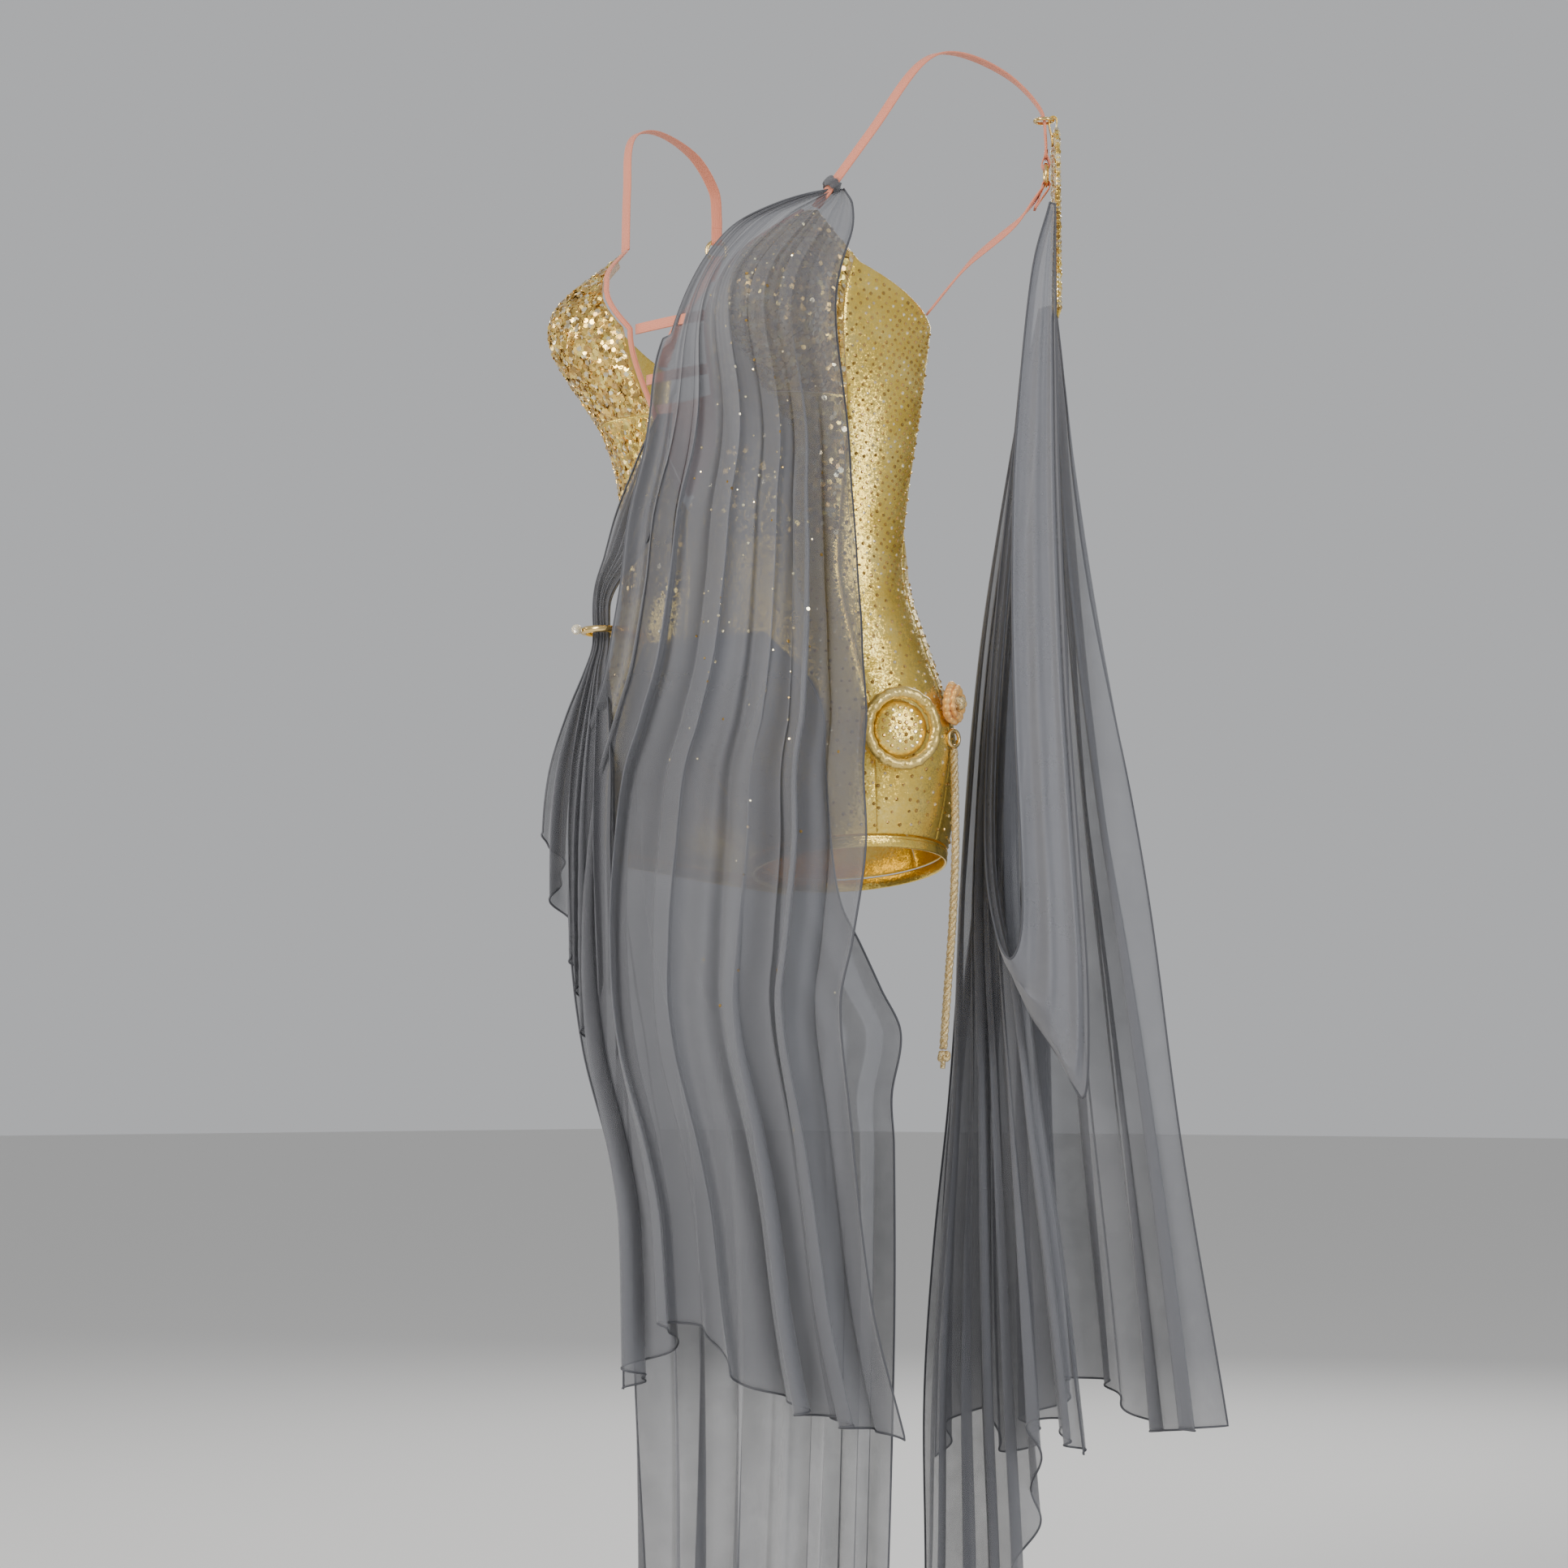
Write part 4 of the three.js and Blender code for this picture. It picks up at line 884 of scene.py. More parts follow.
thread = new_look("coral_thread", (0.62, 0.20, 0.12), 0.7)[0]
for side, hand in HANDS:
    over, under = strap_lines(side)
    blend = np.clip((np.linspace(0, 1, len(over)) - 0.55) / 0.25, 0, 1)
    blend = (blend * blend * (3 - 2 * blend))[:, None]
    behind = np.array([-side * ALONG[0], -ALONG[1], 0.0])
    across = np.array([side, 0.15, 0.0]) * (1 - blend) + behind * blend
    strap = elastic_band(f"{hand}_strap_elastic", over, across, STRAP_WIDTH, STRAP_THICK, coral)
    ring_out = OUTWARD * (side, 1, 1)
    centre = STRAP_RING * (side, 1, 1)
    fold = [(0.0004, 0.0190), (0.0009, 0.0150), (0.0025, 0.0105), (0.0030, 0.0080), (0.0018, 0.0055)]
    fold = fold + [(0, 0.0049)] + [(-o, z) for o, z in reversed(fold)]
    loops = []
    for flip_z in (1, -1):
        line = smooth_route([centre + o * ring_out + (0, 0, flip_z * z) for o, z in fold], 44)
        if flip_z < 0:
            lean = np.clip((centre[2] - 0.008 - line[:, 2]) / 0.010, 0, 1)[:, None] ** 1.5
            line = line + lean * (under[10] - centre + (0, 0, 0.016)) * 0.42
        loops.append(elastic_band(f"{hand}_fold", line, behind, STRAP_WIDTH * 0.94, 0.0010, coral))
    tack = tacks("tack", centre + ring_out * 0.0014 + (0, 0, 0.0165), behind, np.array([0, 0, 1.0]), thread)
    strap = joined(f"{hand}_strap_elastic", [strap, loops[0], tack])
    lower = elastic_band(f"{hand}_back_elastic", under, np.array([0, 0.8, 0.75]),
                         STRAP_WIDTH, STRAP_THICK, coral)
    lower = joined(f"{hand}_back_elastic", [lower, loops[1]])
    ring = torus_piece(f"{hand}_strap_ring_gilt", RING_RADIUS, RING_WIRE, centre, ring_out, gilt)
    for piece, node, slot in ((strap, "front_strap", "elastic"), (lower, "back_strap", "elastic"),
                              (ring, "strap_ring", "gilt_metal")):
        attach(piece, "costume")
        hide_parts(f"{hand}_{node}")

# ---------------------------------------------------------------------------------------
# Hip ring on the wearer's right: a gilt ring in a loop of foil fabric, with a faceted bead.
# The chiffon is drawn down through it.
# ---------------------------------------------------------------------------------------
HIP_RING_ANGLE, HIP_RING_Z, HIP_RING_RADIUS, HIP_RING_WIRE = 32, -0.428, 0.015, 0.0026
HIP_RING_STANDOFF = 0.0236
BEAD_RADIUS = 0.004
ring_base = form_point(-1, HIP_RING_ANGLE, HIP_RING_Z, 0)
ring_out = form_point(-1, HIP_RING_ANGLE, HIP_RING_Z, 1) - ring_base
ring_across = np.array([ring_out[1], -ring_out[0], 0])
ring_centre = ring_base + ring_out * HIP_RING_STANDOFF
hip_ring = torus_piece("hip_ring_gilt", HIP_RING_RADIUS, HIP_RING_WIRE, ring_centre, (0, 0, 1), gilt)
tab_turn = np.linspace(0, math.tau, 40, endpoint=False)[:, None]
tab_centre = ring_centre - ring_out * HIP_RING_RADIUS
tab_line = tab_centre + 0.0048 * (np.cos(tab_turn) * ring_out + np.sin(tab_turn) * np.array([0, 0, 1.0]))
tab = swept_band("hip_ring_loop", tab_line, ring_across, band_section(0.0062, 0.0015), closed=True)
tab.data.materials.append(satin_foil)


def bead_look():
    look, tree, shader = new_look("crystal_bead", (0.96, 0.90, 0.74), 0.04)
    shader.inputs["Transmission Weight"].default_value = 0.55
    shader.inputs["IOR"].default_value = 1.6
    flecks = feed(tree, "ShaderNodeTexNoise", {"Vector": own_place(tree), "Scale": 300.0})
    tint = ramp(tree, flecks.outputs["Fac"], [(0.3, (0.98, 0.86, 0.60)), (0.7, (1.0, 0.98, 0.92))])
    tree.links.new(tint, shader.inputs["Base Color"])
    return look


bpy.ops.object.select_all(action="DESELECT")
bpy.ops.mesh.primitive_ico_sphere_add(subdivisions=3, radius=BEAD_RADIUS)
bead = bpy.context.object
bead.name = "hip_ring_crystal"
bead.data.transform(Matrix.Translation(Vector(
    ring_centre + ring_out * (HIP_RING_RADIUS + HIP_RING_WIRE + BEAD_RADIUS + 0.0001))))
bead.data.shade_flat()
bead.data.materials.append(bead_look())
for piece, node, body, slot in ((hip_ring, "hip_ring", "hip_ring_body", "gilt_metal"),
                                (bead, "hip_ring_bead", "hip_ring_body", "crystal"),
                                (tab, "hip_ring_tab", "costume", "gold_foil")):
    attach(piece, body)
    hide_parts(node)

# ---------------------------------------------------------------------------------------
# Hip ornament on the wearer's left: a padded round patch of foil with stones, framed by a
# thick roll of the same foil gathered round wadding, coloured darker as painted shade, and
# beside it a rosette of gathered orange-gold satin with a knot in its middle.
# ---------------------------------------------------------------------------------------
DISC_ANGLE, DISC_Z, DISC_RADIUS, DISC_THICK, DISC_RIM = 72, -0.513, 0.031, 0.007, 0.005
ROSETTE_ANGLE, ROSETTE_Z = 104, -0.490
KEEPER_RADIUS, KEEPER_WIRE = 0.006, 0.0015


def outward_frame(angle, z, standoff):
    """Centre, level, rising and outward directions of an ornament on the wearer's left."""
    base = form_point(1, angle, z, 0)
    out = form_point(1, angle, z, 1) - base
    level = np.array([-out[1], out[0], 0.0])
    return base + out * standoff, level, np.cross(out, level), out


def on_frame(frame_parts, x, y, h):
    centre, level, rise, out = frame_parts
    return centre + x[..., None] * level + y[..., None] * rise + h[..., None] * out


def round_grid(name, around, across, shape):
    """Closed ring-shaped solid: shape(turn, place round the section) gives its points."""
    turn, part = np.meshgrid(np.arange(around) * math.tau / around, np.arange(across) * math.tau / across,
                             indexing="ij")
    return mesh_piece(name, shape(turn, part).reshape(-1, 3), swept_faces(around, across, closed=True))


disc_frame = outward_frame(DISC_ANGLE, DISC_Z, SHELL + 0.0026)


def disc_roll(turn, part):
    lumps = 1 + 0.05 * np.sin(9 * turn + 1.5 * np.sin(2 * turn)) + 0.035 * np.sin(23 * turn + 2 * part)
    heavy = 1 + 0.16 * np.sin(turn) + 0.05 * np.sin(3 * turn + 1)
    thick = DISC_RIM * (0.93 + 0.05 * np.sin(17 * turn + 1.2 * part)) * lumps * (0.9 + 0.24 * (heavy - 1))
    reach = DISC_RADIUS - DISC_RIM
    x = (reach + thick * np.cos(part)) * np.cos(turn)
    y = (reach + thick * np.cos(part)) * np.sin(turn)
    return on_frame(disc_frame, x, y, DISC_RIM + thick * np.sin(part) * heavy)


disc_rim = round_grid("disc_roll", 260, 36, disc_roll)
# The roll's foil is the panels' foil with darker colour stops: painted shade standing for the shading round
# the bulging roll.
rolled_foil_painted_shade = foil_look("rolled_foil_painted_shade", (0.34, 0.22, 0.05), (0.72, 0.52, 0.15), (0.98, 0.80, 0.38),
                        0.28, False)
disc_rim.data.materials.append(rolled_foil_painted_shade)
pad_radius = DISC_RADIUS - 2 * DISC_RIM - 0.0004


def pad_surface(u, v):
    """Domed face of the patch; u is round it and v from its middle to its edge."""
    r = pad_radius * v
    height = DISC_THICK * (1 - 0.75 * v ** 3.5) + 0.0002
    return on_frame(disc_frame, r * np.cos(math.tau * u), r * np.sin(math.tau * u), height)


pad_rows = np.linspace(0.03, 1, 18)
u, v = np.meshgrid(np.arange(72) / 72, pad_rows)
dome = pad_surface(u, v).reshape(-1, 3)
foot = on_frame(disc_frame, pad_radius * np.cos(math.tau * u[-1]), pad_radius * np.sin(math.tau * u[-1]),
                np.full(72, 0.0002))
disc_pad = mesh_piece("disc_patch", np.vstack([dome, foot]), swept_faces(len(pad_rows) + 1, 72))
disc_pad.data.materials.append(satin_foil)
luck = np.random.default_rng(5)
spots = [(0.0, 0.0)] + [((k + (0.5 if ring % 2 else 0)) / n, (ring + 1) * 0.24) for ring, n in
                        ((0, 6), (1, 12), (2, 18)) for k in range(n)]
spots = np.array(spots) + luck.uniform(-0.008, 0.008, (len(spots), 2))
spots[:, 1] = np.clip(spots[:, 1], 0.001, 0.9)
centres = pad_surface(spots[:, 0], spots[:, 1])
disc_stones = stood_on("disc_stones", gem_shape(0.0015), centres, np.tile(disc_frame[3], (len(centres), 1)),
                       luck.uniform(0.8, 1.2, len(centres)), luck.uniform(0, 6, len(centres)),
                       luck.normal(0, 0.05, (len(centres), 3)), [topaz, champagne],
                       luck.choice(2, len(centres), p=[0.6, 0.4]))

rosette_frame = outward_frame(ROSETTE_ANGLE, ROSETTE_Z, SHELL + 0.003)


def satin_look():
    look, tree, shader = new_look("orange_gold_satin", (0.86, 0.42, 0.10), 0.34, 0.35)
    shader.inputs["Sheen Weight"].default_value = 0.4
    weave = feed(tree, "ShaderNodeTexNoise", {"Vector": own_place(tree), "Scale": 90.0, "Detail": 6.0})
    tint = ramp(tree, weave.outputs["Fac"], [(0.3, (0.62, 0.25, 0.05)), (0.55, (0.86, 0.45, 0.11)),
                                             (0.75, (0.98, 0.68, 0.25))])
    tree.links.new(tint, shader.inputs["Base Color"])
    fine = feed(tree, "ShaderNodeTexNoise", {"Vector": own_place(tree), "Scale": 2200.0})
    bump(tree, shader, fine.outputs["Fac"], 0.3, 0.0002)
    return look


satin = satin_look()


def petal_ring(reach, thick, pleats, height, lean, phase):
    """Shape of one ring of gathered satin, for round_grid."""
    def shape(turn, part):
        pleat = np.abs(np.sin(pleats * turn / 2 + phase)) ** 0.7
        size = thick * (0.72 + 0.34 * pleat)
        r = reach + size * np.cos(part) * 1.15 + lean * np.sin(part) * size
        r = r + 0.0006 * np.sin(5 * turn + phase)
        h = height + size * np.sin(part) + 0.0007 * np.sin(3 * turn + phase)
        return on_frame(rosette_frame, r * np.cos(turn), r * np.sin(turn), h)
    return shape


ruffles = [round_grid("ruffle", 220, 20, petal_ring(0.0122, 0.0032, 17, 0.0040, 0.2, 0.3)),
           round_grid("ruffle", 200, 18, petal_ring(0.0100, 0.0028, 13, 0.0078, 0.4, 1.1))]
rosette = joined("rosette_ruffles", ruffles)
rosette.data.materials.append(satin)


def knot_shape(turn, part):
    r = 0.0030 + 0.0026 * np.cos(part) * (1 + 0.12 * np.sin(5 * turn + 3 * part))
    h = 0.0090 + 0.0036 * np.sin(part) + 0.0012 * np.sin(2 * turn)
    return on_frame(rosette_frame, r * np.cos(turn), r * np.sin(turn), h)


knot_bits = [round_grid("knot", 90, 24, knot_shape)]
cross = np.linspace(-1, 1, 40)
for k, lean in enumerate((0.35, -0.6)):
    arc = on_frame(rosette_frame, 0.0050 * cross, 0.0050 * cross * lean,
                   0.0122 - 0.0052 * cross ** 2 + 0.0006 * k)
    knot_bits.append(swept_band("knot_wrap", arc, rosette_frame[2], band_section(0.0042, 0.0016)))
rosette_knot = joined("rosette_centre", knot_bits)
rosette_knot.data.materials.append(glitter_yarn)

keeper = torus_piece("cord_keeper_gilt", KEEPER_RADIUS, KEEPER_WIRE, tuple(keeper_middle), (1, 0, 0), gilt)
for piece, node, body, slot in ((disc_rim, "hip_disc_rim", "costume", "gold_foil"),
                                (disc_pad, "hip_disc_pad", "costume", "gold_foil"),
                                (rosette, "hip_rosette", "costume", "gold_foil"),
                                (rosette_knot, "rosette_knot", "costume", "glitter_cord"),
                                (keeper, "cord_keeper_ring", "cord_keeper_body", "gilt_metal")):
    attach(piece, body)
    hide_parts(node)
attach(disc_stones, "costume")

# ---------------------------------------------------------------------------------------
# Front drape: one shaped piece of charcoal silk chiffon with a rolled hem. It is gathered on
# the left strap, falls over the left cup in long folds and ends in a point.
# ---------------------------------------------------------------------------------------
CHIFFON_THICK = 0.0004
HEM_RADIUS, HEM_STEPS = 0.0008, 420
DRAPE_TOP_Z = -0.112
FALL_Z = -0.510                     # below this the cloth hangs straight
BODY_RADIUS = 0.13                  # turns a fold's width into degrees round the body
# Height and angle round the body of the drape's two edges.
FRONT_RIGHT = np.array([(DRAPE_TOP_Z, 47), (-0.116, 38), (-0.122, 29), (-0.134, 16), (-0.152, 10),
                        (-0.176, 6), (-0.226, -1), (-0.302, -8), (-0.350, -14), (-0.405, -17),
                        (-0.460, -20), (-0.500, -26), (-0.540, -33), (-0.600, -36), (-0.660, -35),
                        (-0.740, -28), (-0.810, -17), (-0.870, -11), (-1.060, -7)])
FRONT_LEFT = np.array([(DRAPE_TOP_Z, 50), (-0.126, 55), (-0.154, 58.5), (-0.266, 59.5), (-0.330, 63),
                       (-0.394, 66), (-0.488, 60), (-0.540, 58), (-0.598, 58.5), (-0.666, 55),
                       (-0.710, 52), (-0.780, 54), (-0.920, 59.5), (-1.010, 67)])
# Height, distance off the body, fold depth.
FRONT_DEPTH = np.array([(DRAPE_TOP_Z, 0.0085, 0.0014), (-0.150, 0.0075, 0.0032), (-0.200, 0.0075, 0.0050),
                        (-0.260, 0.0090, 0.0078), (-0.330, 0.0115, 0.0105), (-0.400, 0.0130, 0.0120),
                        (-0.530, 0.0110, 0.0125), (-0.620, 0.0120, 0.0140), (-0.800, 0.0140, 0.0165),
                        (-1.060, 0.0160, 0.0200)])
# Share of the width from the wearer's right, and height of the hem there.
FRONT_HEM = np.array([(0, -0.985), (0.10, -0.968), (0.22, -0.938), (0.32, -0.940), (0.45, -0.968),
                      (0.70, -0.994), (1.0, -1.012)])
# Height, and how much of the width from the wearer's right is folded double there.
DOUBLED = np.array([(DRAPE_TOP_Z, 0.34), (-0.160, 0.42), (-0.220, 0.50), (-0.262, 0.62), (-0.300, 0.75),
                    (-0.390, 0.76), (-0.500, 0.82), (-0.574, 0.87), (-0.620, 0.90)])
SECOND_LAYER = 0.17                 # how much more a doubled part covers


def chiffon_look(name, shade, cover):
    """Sheer crepe chiffon that covers more where it is folded double."""
    look, tree, shader = new_look(name, tuple(shade * c for c in (0.98, 1.0, 1.10)), 0.62)
    shader.inputs["Sheen Weight"].default_value = 0.35
    shader.inputs["Specular IOR Level"].default_value = 0.25
    place = own_place(tree)
    crepe = feed(tree, "ShaderNodeTexNoise", {"Vector": place, "Scale": 24.0, "Detail": 6.0,
                                              "Roughness": 0.65})
    single = feed(tree, "ShaderNodeMapRange", {"Value": crepe.outputs["Fac"], "From Min": 0.3,
                                               "From Max": 0.7, "To Min": cover - 0.04,
                                               "To Max": cover + 0.05})
    doubled = feed(tree, "ShaderNodeAttribute", attribute_name="doubled")
    second = feed(tree, "ShaderNodeMath", {0: doubled.outputs["Fac"], 1: SECOND_LAYER}, operation="MULTIPLY")
    layers = feed(tree, "ShaderNodeMath", {0: single.outputs[0], 1: second.outputs[0]}, operation="ADD")
    tree.links.new(layers.outputs[0], shader.inputs["Alpha"])
    yarn = feed(tree, "ShaderNodeTexNoise", {"Vector": place, "Scale": 1800.0, "Detail": 2.0})
    bump(tree, shader, yarn.outputs["Fac"], 0.25, 0.0002)
    return look


def fold_field(count, seed):
    """How far folds of uneven width stand out and lean over, across (s) and down (t) a cloth."""
    luck = np.random.default_rng(seed)
    knots = np.concatenate([[0], np.cumsum(luck.uniform(0.6, 1.5, count))])
    knots /= knots[-1]
    gains = luck.uniform(0.50, 1.20, count + 2)
    phases = luck.uniform(0, math.tau, 6)

    def field(s, t):
        w = smooth_values(knots, np.arange(count + 1.0), s)
        w = w + 0.16 * np.sin(2.8 * t + 2.4 * s + phases[0]) + 0.05 * np.sin(7 * t + 6 * s + phases[1])
        gain = smooth_values(np.arange(count + 2) - 0.5, gains, w)
        gain = gain * (0.82 + 0.25 * np.sin(3.5 * t + 1.9 * w + phases[2]))
        out = gain * (np.cos(math.tau * w) + 0.24 * np.cos(2 * math.tau * w + 0.8))
        minor = 0.22 * np.cos(math.tau * (2.63 * w + 0.7 * t) + phases[3])
        out = out + minor * (0.5 + 0.5 * np.sin(4.3 * t + phases[4]))
        lean = -gain * 0.5 * np.sin(2 * math.tau * w) + 0.2 * np.sin(math.tau * w + 2 * t + phases[5])
        return out, lean
    return field


def cloth_piece(name, columns, rows, surface, look, doubled=None):
    """A grid laid on a cloth surface and thickened, its rolled hem, and its cut sizes."""
    bpy.ops.object.select_all(action="DESELECT")
    bpy.ops.mesh.primitive_grid_add(x_subdivisions=columns, y_subdivisions=rows, size=1)
    cloth = bpy.context.object
    cloth.name = name
    cloth.data.name = name
    flat = np.empty(len(cloth.data.vertices) * 3)
    cloth.data.vertices.foreach_get("co", flat)
    flat = flat.reshape(-1, 3)
    cloth.data.vertices.foreach_set("co", surface(flat[:, 0] + 0.5, 0.5 - flat[:, 1]).ravel())
    cloth.data.update()
    if doubled:
        layers = cloth.data.attributes.new("doubled", "FLOAT", "POINT")
        layers.data.foreach_set("value", doubled(flat[:, 0] + 0.5, 0.5 - flat[:, 1]))
    area = sum(face.area for face in cloth.data.polygons)
    s, t = np.meshgrid(np.linspace(0, 1, 200), np.linspace(0, 1, 60))
    net = surface(s.ravel(), t.ravel()).reshape(60, 200, 3)
    width = float(np.quantile(np.sum(np.linalg.norm(np.diff(net, axis=1), axis=2), axis=1), 0.9))
    length = float(np.max(np.sum(np.linalg.norm(np.diff(net, axis=0), axis=2), axis=0)))
    solid = cloth.modifiers.new("thickness", "SOLIDIFY")
    solid.thickness = CHIFFON_THICK
    solid.offset = 0
    bpy.ops.object.modifier_apply(modifier="thickness")
    bpy.ops.object.shade_smooth()
    cloth.data.materials.append(look)
    run, start, end = np.linspace(0, 1, HEM_STEPS), np.zeros(HEM_STEPS), np.ones(HEM_STEPS)
    border = np.concatenate([surface(start, run), surface(run, end), surface(end, 1 - run)])
    steps = np.linalg.norm(np.diff(border, axis=0), axis=1)
    border = border[np.concatenate([[True], steps > 1e-5])]
    hem = swept_band(f"{name}_rolled_hem", border, (0.31, -0.52, 0.79), round_section(HEM_RADIUS, 6))
    hem.data.materials.append(rolled)
    return cloth, hem, (round(width, 3), round(length, 3)), round(float(area), 4)


veil = chiffon_look("charcoal_chiffon", 0.19, 0.46)
rolled = new_look("rolled_chiffon_edge", (0.075, 0.077, 0.088), 0.7)[0]


def by_height(table, z, column=1):
    """One column of a table whose first column is the height, at each height asked for."""
    return smooth_values(-table[:, 0], table[:, column], -z)


def fallen_point(angle, z, offset):
    """Point off the form, which stays the same below the height where the cloth falls free."""
    point = form_point(1, np.abs(angle), np.maximum(z, FALL_Z), offset)
    point[..., 0] *= np.where(angle < 0, -1, 1)
    point[..., 2] = z
    return point


front_folds = fold_field(6, 3)
front_gathers = fold_field(17, 8)


def front_height(s, t):
    hem = smooth_values(FRONT_HEM[:, 0], FRONT_HEM[:, 1], s)
    return DRAPE_TOP_Z + (hem - DRAPE_TOP_Z) * t ** 1.35


def front_doubled(s, t):
    z = front_height(s, t)
    inside = np.clip((by_height(DOUBLED, z) - s) / 0.006, 0, 1)
    return inside * np.clip((z + 0.540) / 0.080, 0, 1)


def front_surface(s, t):
    z = front_height(s, t)
    base, depth = by_height(FRONT_DEPTH, z), by_height(FRONT_DEPTH, z, 2)
    out, lean = front_folds(s, t)
    fine, _ = front_gathers(s, t)
    near_top = np.exp(-((DRAPE_TOP_Z - z) / 0.16) ** 2)
    right, left = by_height(FRONT_RIGHT, z), by_height(FRONT_LEFT, z)
    angle = right + (left - right) * s
    angle = angle + np.degrees(depth / BODY_RADIUS) * 0.85 * lean * np.sin(math.pi * s) ** 0.3
    offset = base + depth * (1.0 + out * (1 - 0.25 * near_top)) + 0.0014 * near_top * fine
    return fallen_point(angle, z, offset)


front_drape, front_hem, front_flat, front_area = cloth_piece(
    "front_chiffon", 230, 190, front_surface, veil, front_doubled)

# The drape's keeper: a bias loop of the same chiffon wrapped round the strap.
over_left = strap_lines(1)[0]
keeper_at = int(0.07 * len(over_left))
keeper_axis = over_left[keeper_at + 1] - over_left[keeper_at - 1]
keeper_axis /= np.linalg.norm(keeper_axis)
keeper_side = np.cross(keeper_axis, (0, 0, 1.0))
keeper_side /= np.linalg.norm(keeper_side)
keeper_up = np.cross(keeper_side, keeper_axis)


def bias_loop(turn, part):
    size = 0.0019 * (1 + 0.14 * np.sin(7 * turn + 2 * part) + 0.10 * np.sin(4 * part + 3 * turn))
    r = 0.0075 + size * np.cos(part)
    h = size * np.sin(part) * 2.0
    return (over_left[keeper_at] + (r * np.cos(turn))[..., None] * keeper_side
            + (0.72 * r * np.sin(turn))[..., None] * keeper_up + h[..., None] * keeper_axis)


drape_keeper = round_grid("drape_bias_loop", 96, 22, bias_loop)
drape_keeper.data.materials.append(chiffon_look("folded_chiffon", 0.11, 0.8))

# Crystals hot-fixed to the drape, thickest in a line down from the cup.
luck = np.random.default_rng(19)
count = 120
crystal_s = np.clip(luck.normal(0.60, 0.16, count), 0.05, 0.97)
crystal_t = np.clip(luck.beta(2.2, 3.4, count) * 0.85 + 0.04, 0.05, 0.9)
step = 1e-3
du = front_surface(crystal_s + step, crystal_t) - front_surface(crystal_s - step, crystal_t)
dv = front_surface(crystal_s, crystal_t - step) - front_surface(crystal_s, crystal_t + step)
drape_stones = stood_on("drape_crystals", gem_shape(0.0012), front_surface(crystal_s, crystal_t),
                        np.cross(du, dv), luck.uniform(0.7, 1.2, count), luck.uniform(0, 6, count),
                        luck.normal(0, 0.05, (count, 3)), [champagne, topaz],
                        luck.choice(2, count, p=[0.7, 0.3]))

# ---------------------------------------------------------------------------------------
# Under drape: a second, longer layer of the same chiffon, sewn in at the waist behind the
# front drape.
# ---------------------------------------------------------------------------------------
# Height, the two edges as angles, distance off the body, fold depth.
UNDER = np.array([(-0.440, -17, 30, 0.0050, 0.0006), (-0.480, -25, 44, 0.0052, 0.0012),
                  (-0.540, -34, 46, 0.0040, 0.0020), (-0.600, -36, 48, 0.0020, 0.0036),
                  (-0.640, -36, 51, -0.0010, 0.0050), (-0.666, -35, 57, -0.0030, 0.0060),
                  (-0.700, -33, 65, -0.0050, 0.0075), (-0.731, -31, 73, -0.0070, 0.0085),
                  (-0.775, -28, 69, -0.0100, 0.0095), (-0.810, -25, 70, -0.0120, 0.0100),
                  (-0.950, -22, 70, -0.0160, 0.0120), (-1.235, -21, 65, -0.0180, 0.0160)])
UNDER_HEM = np.array([(0, -1.215), (0.16, -1.190), (0.30, -1.120), (0.45, -1.150), (0.62, -1.225),
                      (0.80, -1.205), (1.0, -1.235)])
under_folds = fold_field(7, 14)


def under_surface(s, t):
    hem = smooth_values(UNDER_HEM[:, 0], UNDER_HEM[:, 1], s)
    z = UNDER[0, 0] + (hem - UNDER[0, 0]) * t ** 1.1
    right, left, base, depth = [by_height(UNDER, z, k) for k in (1, 2, 3, 4)]
    out, lean = under_folds(s, t)
    angle = right + (left - right) * s + np.degrees(depth / BODY_RADIUS) * 0.5 * lean
    return fallen_point(angle, z, base + depth * (0.2 + out))


under_drape, under_hem, under_flat, under_area = cloth_piece(
    "under_chiffon", 200, 150, under_surface, veil)

# ---------------------------------------------------------------------------------------
# Hip drape: the side of the front drape that is drawn through the hip ring on the wearer's
# right, where it is gathered tight and then opens out again.
# ---------------------------------------------------------------------------------------
# On the body: height, the two edges as angles, distance off the body, fold depth.
HIP_ABOVE = np.array([(-0.272, 1, 6, 0.0130, 0.0014), (-0.310, 3, 19, 0.0150, 0.0034),
                      (-0.350, 7, 33, 0.0180, 0.0050), (-0.395, 17, 42, 0.0230, 0.0052),
                      (-0.440, 28, 36, 0.0236, 0.0040)])
# Through and below the ring: height, how far along the body and out from the ring's centre
# each of the two edges is, fold depth.
HIP_BELOW = np.array([(-0.390, 0.0090, 0.0020, -0.0090, -0.0010, 0.0048),
                      (-0.414, 0.0082, 0.0030, -0.0080, -0.0010, 0.0040),
                      (-0.428, 0.0074, 0.0030, -0.0074, -0.0015, 0.0036),
                      (-0.441, 0.0080, 0.0035, -0.0080, -0.0010, 0.0040),
                      (-0.458, 0.0120, 0.0070, -0.0120, 0.0020, 0.0056),
                      (-0.490, 0.0220, 0.0150, -0.0220, 0.0030, 0.0085),
                      (-0.535, 0.0330, 0.0240, -0.0290, 0.0030, 0.0105),
                      (-0.590, 0.0410, 0.0270, -0.0310, 0.0020, 0.0115),
                      (-0.700, 0.0480, 0.0250, -0.0300, -0.0050, 0.0125),
                      (-0.850, 0.0500, 0.0200, -0.0270, -0.0130, 0.0125)])
HIP_HEM = np.array([(0, -0.578), (0.12, -0.600), (0.30, -0.650), (0.50, -0.700), (0.75, -0.770),
                    (1.0, -0.840)])
RING_ENTRY_Z, RING_ENTRY = -0.368, 0.044    # where the cloth leaves the body for the ring
hip_folds = fold_field(6, 23)


